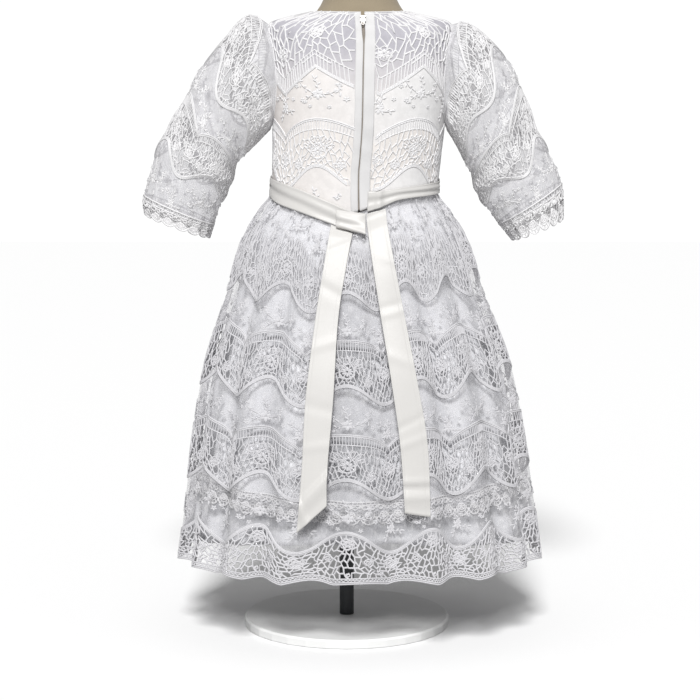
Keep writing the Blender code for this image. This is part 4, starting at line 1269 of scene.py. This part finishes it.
class DRESS_OT_form(bpy.types.Operator):
    """Makes the form's jersey-covered torso and neck"""
    bl_idname = "dress.form"
    bl_label = "Dress form"

    def execute(self, context):
        columns = 96
        angles = [360 * k / columns for k in range(columns)]
        centre_x = BODICE[0][8]
        rings = [[ring_point(a, half_width, half_depth, half_depth, 2.3, centre_x, z) for a in angles]
                 for z, half_width, half_depth in self.between(TORSO_HIP, 8)]
        for k in range(41):
            level = mix(0.3, 8.0, k / 40)
            ring = []
            for a in angles:
                body = mix(TORSO_INSET_WAIST, TORSO_INSET_BODY, ease(level / 2))
                inset = mix(body, TORSO_INSET_SHOULDER, ease(level - 5.5) * abs(math.sin(math.radians(a))))
                point = bodice_point(a, level, inset)
                point.z -= ease(level - 5) * TORSO_INSET_SHOULDER
                ring.append(point)
            rings.append(ring)
        for z, half_width, half_depth in self.between(TORSO_NECK, 12) + list(TORSO_TOP):
            rings.append([ring_point(a, half_width, half_depth, half_depth, 2.0, 0, z) for a in angles])
        bm = bmesh.new()
        rows = [[bm.verts.new((p.x + DRESS_OFFSET, p.y, p.z)) for p in ring] for ring in rings]
        for lower, upper in zip(rows, rows[1:]):
            for k in range(columns):
                j = (k + 1) % columns
                bm.faces.new((lower[k], lower[j], upper[j], upper[k]))
        bm.faces.new(list(reversed(rows[0])))
        bm.faces.new(rows[-1])
        mesh = bpy.data.meshes.new("form_cover")
        bm.to_mesh(mesh)
        bm.free()
        mesh.shade_smooth()
        cover = finish("cotton_jersey", jersey, context.scene.dress_finishes)
        cloth_piece("form_cover", mesh, cover, ["form_torso"])
        return {"FINISHED"}

    @staticmethod
    def between(table, steps):
        """Rows of a table, with more read between them."""
        rows = []
        for k in range(steps + 1):
            z = mix(table[0][0], table[-1][0], k / steps)
            rows.append((z, *read_row(table, z)))
        return rows


class DRESS_OT_stand(bpy.types.Operator):
    """Coats the stand's pole and its round base"""
    bl_idname = "dress.stand"
    bl_label = "Stand"

    def execute(self, context):
        finishes = context.scene.dress_finishes
        coat_solid("stand_pole", powder_coat("charcoal_powder_coat", finishes.pole[:]))
        coat_solid("stand_base", powder_coat("white_powder_coat", finishes.base[:]))
        return {"FINISHED"}


class DRESS_OT_bodice(bpy.types.Operator):
    """Makes the bodice's front and two backs, each lace on its lining"""
    bl_idname = "dress.bodice"
    bl_label = "Bodice"

    def execute(self, context):
        lace = context.scene.dress_lace
        chance = random.Random(lace.seed)
        yoke = yoke_chart(chance, lace.cord, lace.gimp)
        band = band_chart(chance, lace.cord, lace.gimp * 0.8, cells=15)
        sprays = spray_chart(lace.cord * 0.9)
        ground = finish("lining_under_lace", mounted_ground, context.scene.dress_finishes)
        panels = (("back_left", "left", 44, (0.135, 0.20)), ("back_right", "right", 44, (0.128, 0.20)),
                  ("front", "front", 84, (0.262, 0.19)))
        for name, key, columns, flat in panels:
            limits = self.limits(key)

            def place(u, w, limits=limits):
                level = w * NECKLINE
                first, last = limits(level)
                return bodice_point(mix(first, last, u), level)

            # Openwork zones, where the lining under the lace takes painted shade
            def marks(u, w, limits=limits, key=key):
                level = w * NECKLINE
                first, last = limits(level)
                angle = mix(first, last, u)
                return self.openwork(key, angle, bodice_height(angle, level))

            title = f"bodice_{name}_lining"
            mesh = grid_mesh(title, columns, 96, place, marks=marks)
            lining = cloth_piece(title, mesh, ground, [f"bodice_{name}"], LINING_WALL)
            cords, leaves = [], []
            for crest, chart in zip(BODICE_BANDS, (yoke, band)):
                self.lay(chart, key, crest, 0.0002, cords, leaves)
                self.lay(sprays, key, crest, 0.0007, cords, leaves)
            self.edges(key, limits, cords, lace.gimp)
            threads = thread_piece(f"bodice_{name}_lace", cords, leaves, cord_finish())
        return {"FINISHED"}

    @staticmethod
    def limits(key):
        """The angles of a panel's two edges at a level."""
        def at(level):
            side = 90 - max(armhole_half_angle(level), seam_angle(level))
            if key == "left":
                return -side, zip_angle(level, -half_slit(level))
            if key == "right":
                return zip_angle(level, half_slit(level)), side
            return 180 - side, 180 + side
        return at

    @staticmethod
    def openwork(key, angle, z):
        x = ((angle - BODICE_CREST[key]) / BODICE_REPEAT_DEGREES + 0.5) * REPEAT_WIDTH
        yoke, band = BODICE_BANDS
        return float(yoke - z < yoke_wave(x) or lower_arch(x) < band - z < wave(x))

    @staticmethod
    def lay(chart, key, crest, lift, cords, leaves):
        """Lays a chart's repeats over one panel, cut at its edges."""
        limits = DRESS_OT_bodice.limits(key)
        top = BODICE[NECKLINE]

        for repeat in range(-2, 3):
            def angle_of(x, repeat=repeat):
                return BODICE_CREST[key] + (repeat + x / REPEAT_WIDTH - 0.5) * BODICE_REPEAT_DEGREES

            def wanted(x, y):
                angle, z = angle_of(x), crest - y
                if not BODICE_LACE_FOOT < z < min(top[1], top[3]):
                    return False
                level = bodice_level(angle, z)
                if level > NECKLINE - 0.08:
                    return False
                first, last = limits(level)
                if key == "left":
                    last = zip_angle(level, -PLACKET_LEFT)
                if key == "right":
                    first = zip_angle(level, PLACKET_RIGHT)
                return first + EDGE_MARGIN < angle < last - EDGE_MARGIN

            def surface(x, y, lift):
                return bodice_surface(angle_of(x), crest - y, lift)

            lay_chart(chart, surface, lift, wanted, cords, leaves)

    @staticmethod
    def edges(key, limits, cords, gimp):
        """Bound edges at the neckline and the armholes."""
        steps = 60
        for level in (NECKLINE - 0.05, NECKLINE - 0.22):
            first, last = limits(level)
            line = [bodice_point(mix(first, last, k / steps), level, -0.0003) for k in range(steps + 1)]
            cords.extend((a, b, gimp * 0.7) for a, b in zip(line, line[1:]))
        for side in (-1, 1):
            if (key == "left" and side > 0) or (key == "right" and side < 0):
                continue
            line = []
            for k in range(31):
                level = mix(UNDERARM, SHOULDER_TIP, k / 30)
                first, last = limits(level)
                if key == "front":
                    angle = first if side > 0 else last
                else:
                    angle = last if side > 0 else first
                line.append(bodice_point(angle, level, -0.0004))
            cords.extend((a, b, gimp * 0.9) for a, b in zip(line, line[1:]))


class DRESS_OT_zip(bpy.types.Operator):
    """Makes the zip's placket bands and finishes its chain, slider and tab"""
    bl_idname = "dress.zip"
    bl_label = "Zip"

    def execute(self, context):
        finishes = context.scene.dress_finishes
        plain = finish("cotton_facing", facing_cloth, finishes)
        for side, width in (("left", -PLACKET_LEFT), ("right", PLACKET_RIGHT)):
            sign = -1 if side == "left" else 1

            def band(u, w, sign=sign, width=width):
                level = w * (NECKLINE - 0.02)
                open_top = ease((bodice_height(0, level) - 0.642) / 0.012)
                inner = sign * half_slit(level) * mix(0.45, 1.04, open_top)
                first, last = sorted((inner, width))
                ripple = math.sin(w * 55 + sign) + 0.7 * math.sin(w * 31 + 4 * u + sign)
                puff = 0.0005 + 0.0004 * math.sin(math.pi * u) + 0.0002 * ripple
                return bodice_point(zip_angle(level, mix(first, last, u)), level, -puff)

            title = f"placket_{side}"
            mesh = grid_mesh(title, 8, 120, band)
            strip = cloth_piece(title, mesh, plain, wall=PLACKET_WALL)
        metal = finish("nickel_plated_zinc", zinc, finishes)
        coat_solid("zip_chain", finish("polyester_coil_zip", zip_tape, finishes))
        coat_solid("zip_slider", metal)
        coat_solid("zip_pull", metal)
        return {"FINISHED"}


class DRESS_OT_skirt(bpy.types.Operator):
    """Makes the gathered lace skirt, back and front, net and cords"""
    bl_idname = "dress.skirt"
    bl_label = "Skirt"

    def execute(self, context):
        lace = context.scene.dress_lace
        chance = random.Random(lace.seed + 1)
        gathered = band_chart(chance, lace.cord, lace.gimp * 0.8, ladder=False)
        band = band_chart(chance, lace.cord, lace.gimp)
        sprays = spray_chart(lace.cord)
        hem = hem_chart(chance, lace.cord, lace.gimp)
        rows = list(zip((gathered, band, band, hem), (*BAND_DROPS, HEM_BAND_DROP)))
        rows += [(sprays, drop) for drop in (BAND_DROPS[0] - 0.104, *BAND_DROPS)]
        threads = {"back": ([], []), "front": ([], [])}
        for chart, drop in rows:
            for repeat in range(FIRST_REPEAT, FIRST_REPEAT + REPEATS):
                def angle_of(x, repeat=repeat):
                    return read_line(REPEAT_ANGLES, repeat + x / REPEAT_WIDTH - 0.5)

                def surface(x, y, lift, drop=drop):
                    return skirt_surface(angle_of(x), drop + y, lift)

                for half, (cords, leaves) in threads.items():
                    def wanted(x, y, half=half, drop=drop):
                        behind = abs(wrap(angle_of(x))) < 90
                        return behind == (half == "back") and drop + y > 0.004

                    lay_chart(chart, surface, CORD_LIFT, wanted, cords, leaves)
        tulle_finish = finish("polyester_tulle", tulle, context.scene.dress_finishes, lace.net_cover)
        for half, middle in (("back", 0), ("front", 180)):
            def place(u, w, middle=middle):
                return skirt_surface(middle + HALF_PANEL * (2 * u - 1), w * SKIRT_LENGTH)

            def covered(u, w, middle=middle):
                return self.netted(middle + HALF_PANEL * (2 * u - 1), w * SKIRT_LENGTH)

            title = f"skirt_{half}_net"
            mesh = grid_mesh(title, 200, 120, place, keep=covered, flipped=True)
            net = cloth_piece(title, mesh, tulle_finish, [f"skirt_lace_{half}"])
            lace_bands = thread_piece(f"skirt_{half}_lace", *threads[half], cord_finish(hanging=True))
        return {"FINISHED"}

    @staticmethod
    def netted(angle, drop):
        """True where the skirt is net: between its bands of openwork and behind the gathered top one."""
        angle = (angle - REPEATS_MEET) % 360 + REPEATS_MEET
        repeat = read_line([(a, r) for r, a in REPEAT_ANGLES], angle)
        x = (repeat + 0.5) * REPEAT_WIDTH
        if any(arch(x) < drop - top < wave(x) for top in BAND_DROPS[1:]):
            return False
        return drop < HEM_BAND_DROP + hem_cord(x)


class DRESS_OT_lining(bpy.types.Operator):
    """Makes the skirt's lining with its guipure edging"""
    bl_idname = "dress.lining"
    bl_label = "Lining"

    def execute(self, context):
        def by_angle(angle, back, side):
            return mix(back, side, math.sin(math.radians(angle)) ** 2)

        def lining(u, w):
            angle = 360 * u
            last = skirt_drop(angle, by_angle(angle, LINING_HEM_BACK, LINING_HEM_SIDE))
            return lining_point(angle, w * last)

        def lining_painted_shade(u, w):
            """Painted shade on the lining: 1 where the edging lies over it and just under it, less in the
            folds' valleys, and some between the sash's tails.
            """
            angle = 360 * u
            z = lining(u, w).z
            low = by_angle(angle, EDGE_LACE_LOW_BACK, EDGE_LACE_LOW_SIDE)
            # Painted shade seen through the edging, painted shade in the folds' valleys, and a painted shadow
            # of the sash's tails
            edge = ease((z - low + 0.012) / 0.006) * ease((low + 0.019 - z) / 0.004)
            valley = (1 - fold_wave(angle)[1]) ** 2 * ease((w - 0.12) / 0.25)
            between_tails = ease(1.2 - abs(wrap(angle + 4)) / 12) * ease((w - 0.1) / 0.2)
            return max(edge, 0.34 * valley, 0.45 * between_tails)

        mesh = grid_mesh("skirt_lining", 192, 54, lining, closed=True, flipped=True, marks=lining_painted_shade)
        polycotton = finish("polycotton_lining", lining_cloth, context.scene.dress_finishes)
        cloth = cloth_piece("skirt_lining_cloth", mesh, polycotton, ["skirt_lining"],
                            LINING_WALL)

        chart = edging_chart(context.scene.dress_lace.cord * 0.9)
        cords, leaves = [], []
        for unit in range(LINING_SCALLOPS):
            def surface(x, y, lift, unit=unit):
                angle = 360 * (unit + x / EDGING_WIDTH) / LINING_SCALLOPS
                z = by_angle(angle, EDGE_LACE_LOW_BACK, EDGE_LACE_LOW_SIDE) + EDGE_LACE_HEIGHT - y
                return lining_point(angle, skirt_drop(angle, z), lift + LINING_WALL)

            lay_chart(chart, surface, CORD_LIFT, lambda x, y: True, cords, leaves)
        edging = thread_piece("lining_guipure_edging", cords, leaves, cord_finish(), ["lining_lace_edge"])
        return {"FINISHED"}


class DRESS_OT_sleeves(bpy.types.Operator):
    """Makes the two lace sleeves with their guipure cuffs"""
    bl_idname = "dress.sleeves"
    bl_label = "Sleeves"

    def execute(self, context):
        lace = context.scene.dress_lace
        chance = random.Random(lace.seed + 2)
        band = band_chart(chance, lace.cord * 0.95, lace.gimp * 0.9, cells=13)
        sprays = spray_chart(lace.cord * 0.9)
        cuff = edging_chart(lace.cord * 0.95)
        tulle_finish = finish("sleeve_tulle", tulle, context.scene.dress_finishes, lace.sleeve_cover)
        for side, word in ((-1, "left"), (1, "right")):
            threads = {"back": ([], []), "front": ([], [])}
            for chart, start in [(c, s) for s in SLEEVE_BANDS for c in (band, sprays)]:
                for repeat in range(SLEEVE_REPEATS):
                    def turn_of(x, repeat=repeat):
                        at = repeat + x / REPEAT_WIDTH - SLEEVE_SHIFT
                        return 2 * math.pi * at / SLEEVE_REPEATS % (2 * math.pi)

                    def surface(x, y, lift, start=start):
                        return sleeve_surface(side, turn_of(x), min(start + y / SLEEVE_LENGTH, 1.0), lift)

                    for half, (cords, leaves) in threads.items():
                        def wanted(x, y, half=half, start=start):
                            back = turn_of(x) < math.pi
                            return back == (half == "back") and 0.02 < start + y / SLEEVE_LENGTH < 0.97

                        lay_chart(chart, surface, CORD_LIFT, wanted, cords, leaves)
            declared = {}
            for half, first in (("back", 0), ("front", math.pi)):
                def place(u, w, first=first):
                    return sleeve_surface(side, first + math.pi * mix(0.002, 0.998, u), w)

                def thinned(u, w, first=first):
                    return float(not self.netted(first + math.pi * u, w))

                title = f"sleeve_{word}_{half}"
                mesh = grid_mesh(f"{title}_net", 72, 96, place, flipped=side < 0, marks=thinned)
                net = cloth_piece(f"{title}_net", mesh, tulle_finish, [title])
                threaded = thread_piece(f"{title}_lace", *threads[half], cord_finish())
                declared[half] = (net, [threaded])
            cords, leaves = [], []
            for unit in range(CUFF_SCALLOPS):
                def trim(x, y, lift, unit=unit):
                    turn = 2 * math.pi * (unit + x / EDGING_WIDTH) / CUFF_SCALLOPS
                    share = mix(0.955, CUFF_LACE_END + 0.02, y / EDGING_HEIGHT)
                    return sleeve_surface(side, turn, share, lift + 0.0005)

                lay_chart(cuff, trim, CORD_LIFT, lambda x, y: True, cords, leaves)
            edging = thread_piece(f"cuff_{word}_guipure", cords, leaves, cord_finish(), [f"cuff_lace_{word}"])
            declared["back"][1].append(edging)
            for half, (net, with_net) in declared.items():
                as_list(with_net)
        return {"FINISHED"}

    @staticmethod
    def netted(turn, share):
        """True where a sleeve is plain net, which is thinned in its bands of openwork."""
        x = (turn / (2 * math.pi) * SLEEVE_REPEATS + SLEEVE_SHIFT) * REPEAT_WIDTH
        return not any(arch(x) < (share - start) * SLEEVE_LENGTH < wave(x) for start in SLEEVE_BANDS)


class DRESS_OT_sash(bpy.types.Operator):
    """Makes the satin sash: its band, the knot and the two hanging tails"""
    bl_idname = "dress.sash"
    bl_label = "Sash"

    def execute(self, context):
        lift = FINE_CLOTH + SASH_LIFT
        gap = math.degrees(SEAM / 0.09)
        skirt, front = ["skirt_lace_back"], ["bodice_front"]
        self.cut = {
            "sash_front": ((0.026, 0.28), front), "sash_wing_left": ((0.030, 0.125), skirt),
            "sash_wing_right": ((0.018, 0.110), skirt), "sash_tail_left": ((0.031, 0.30), skirt),
            "sash_tail_right": ((0.031, 0.31), skirt), "sash_knot": ((0.022, 0.036), ["sash_wing_left"]),
        }
        front_rows = SASH_RIGHT + tuple((row[0] + 360, row[1], row[2]) for row in SASH[1:3])
        bands = (
            ("sash_front", front_rows, 90 + gap, 270 - gap, 120),
            ("sash_wing_left", SASH, -90 + gap, 2, 90),
            ("sash_wing_right", SASH_RIGHT, 6.2, 90 - gap, 90),
        )
        for name, table, start, end, columns in bands:
            def band(u, w, name=name, table=table, start=start, end=end):
                angle = mix(start, end, u)
                low, high = read_row(table, angle)
                fold = 0.0008 * math.sin(math.pi * 3 * w + 3.0 * u) * math.sin(math.pi * w)
                if name == "sash_wing_right":
                    fold += 0.0028 * math.exp(-((angle - 13) / 2.6) ** 2)
                return on_dress(angle, mix(low, high, w), lift + fold)

            self.satin_piece(name, columns, 16, band)
        for name, table in (("sash_tail_left", TAIL_LEFT), ("sash_tail_right", TAIL_RIGHT)):
            numbered = tuple((k, *row) for k, row in enumerate(table))

            def tail(u, w, name=name, numbered=numbered, last=len(table) - 1):
                left_x, left_z, right_x, right_z = read_row(numbered, (1 - w) * last)
                x, z = mix(left_x, right_x, u), mix(left_z, right_z, u)
                centre_x, half_width, _, _, squareness = read_row(SKIRT, skirt_drop(0, z))
                angle = ring_angle(x, half_width, squareness, centre_x)
                point = on_dress(angle, min(z, seam_height(angle) - SEAM), lift + tail_relief(name, u, z))
                return Vector((x, point.y, z))

            self.satin_piece(name, 32, 130, tail)

        def strap(u, w):
            x = mix(KNOT[0][0], KNOT[1][0], u)
            z = mix(mix(KNOT[0][1], KNOT[1][1], u), mix(KNOT[0][2], KNOT[1][2], u), w)
            angle = ring_angle(x, BODICE[0][4], BODICE[0][7], BODICE[0][8])
            round_off = KNOT_THICKNESS * (1 - (2 * w - 1) ** 4) * (1 - 0.5 * (2 * u - 1) ** 4)
            folds = 0.0007 * math.sin(math.pi * 4 * w + 1.5 * u)
            point = on_dress(angle, z, lift + KNOT_LIFT + round_off + folds)
            return Vector((x, point.y, z))

        self.satin_piece("sash_knot", 40, 28, strap)
        return {"FINISHED"}

    def satin_piece(self, name, columns, rows, place):
        mesh = grid_mesh(name, columns, rows, place)
        ribbon = finish("polyester_satin", satin, bpy.context.scene.dress_finishes)
        piece = cloth_piece(f"{name}_satin", mesh, ribbon, [name], SATIN_WALL)
        flat, rests_on = self.cut[name]
        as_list(rests_on)


class DRESS_OT_stage(bpy.types.Operator):
    """Sets the floor, the soft light and the camera"""
    bl_idname = "dress.stage"
    bl_label = "Stage"

    def execute(self, context):
        stage = context.scene.dress_stage
        bm = bmesh.new()
        bmesh.ops.create_grid(bm, x_segments=1, y_segments=1, size=6.0)
        mesh = bpy.data.meshes.new("floor")
        bm.to_mesh(mesh)
        bm.free()
        # White paper that throws back less light than it shows, so that the dress keeps its shadows
        shown, thrown_back = srgb("#FEFEFE"), srgb("#C3C3C3")
        material, tree, shader = new_material("matt_white_paper", shown, 0.9)
        seen = add_node(tree, "ShaderNodeLightPath")
        paper = blend(tree, seen.outputs["Is Camera Ray"], thrown_back, shown)
        tree.links.new(paper, shader.inputs["Base Color"])
        add_piece("floor", mesh, material)

        world = bpy.data.worlds.new("white_studio")
        world.use_nodes = True
        tree = world.node_tree
        background = tree.nodes["Background"]
        background.inputs["Color"].default_value = srgb("#FFFFFF")
        background.inputs["Strength"].default_value = stage.sky
        bright = add_node(tree, "ShaderNodeBackground", {"Color": srgb("#FFFFFF"), "Strength": 1.05})
        seen = add_node(tree, "ShaderNodeLightPath")
        both = add_node(tree, "ShaderNodeMixShader", {
            0: seen.outputs["Is Camera Ray"], 1: background.outputs["Background"],
            2: bright.outputs["Background"]})
        tree.links.new(both.outputs["Shader"], tree.nodes["World Output"].inputs["Surface"])
        context.scene.world = world
        context.scene.view_settings.view_transform = "Standard"

        sun = bpy.data.lights.new("key_light", "SUN")
        sun.energy = stage.key
        sun.angle = stage.key_softness
        light = bpy.data.objects.new("key_light", sun)
        light.location = (0, -2.0, 2.4)
        light.rotation_euler = (math.pi / 2 - stage.key_height, 0, stage.key_turn)
        context.scene.collection.objects.link(light)
        camera_data = bpy.data.cameras.new("photo_camera")
        camera_data.lens = stage.lens
        camera_data.sensor_width = 36.0
        camera = bpy.data.objects.new("photo_camera", camera_data)
        camera.location = stage.camera
        camera.rotation_euler = (math.pi / 2 - stage.tilt, 0, 0)
        context.scene.collection.objects.link(camera)
        context.scene.camera = camera
        return {"FINISHED"}


class DRESS_PT_panel(bpy.types.Panel):
    """Settings and steps of the lace dress"""
    bl_label = "Lace dress"
    bl_idname = "DRESS_PT_panel"
    bl_space_type = "VIEW_3D"
    bl_region_type = "UI"
    bl_category = "Lace dress"

    def draw(self, context):
        for group in (context.scene.dress_lace, context.scene.dress_finishes, context.scene.dress_stage):
            for name in group.__annotations__:
                self.layout.prop(group, name)
        for step in STEPS:
            self.layout.operator(step.bl_idname)


STEPS = (DRESS_OT_form, DRESS_OT_stand, DRESS_OT_bodice, DRESS_OT_zip, DRESS_OT_skirt, DRESS_OT_lining,
         DRESS_OT_sleeves, DRESS_OT_sash, DRESS_OT_stage)
GROUPS = (DressLace, DressFinishes, DressStage)
CLASSES = (*GROUPS, *STEPS, DRESS_PT_panel)


def register():
    for kind in CLASSES:
        bpy.utils.register_class(kind)
    bpy.types.Scene.dress_lace = bpy.props.PointerProperty(type=DressLace)
    bpy.types.Scene.dress_finishes = bpy.props.PointerProperty(type=DressFinishes)
    bpy.types.Scene.dress_stage = bpy.props.PointerProperty(type=DressStage)


def unregister():
    for name in ("dress_lace", "dress_finishes", "dress_stage"):
        delattr(bpy.types.Scene, name)
    for kind in reversed(CLASSES):
        bpy.utils.unregister_class(kind)


def main():
    register()
    bpy.ops.dress.form()
    bpy.ops.dress.stand()
    bpy.ops.dress.bodice()
    bpy.ops.dress.zip()
    bpy.ops.dress.skirt()
    bpy.ops.dress.lining()
    bpy.ops.dress.sleeves()
    bpy.ops.dress.sash()
    bpy.ops.dress.stage()


if __name__ == "__main__":
    main()
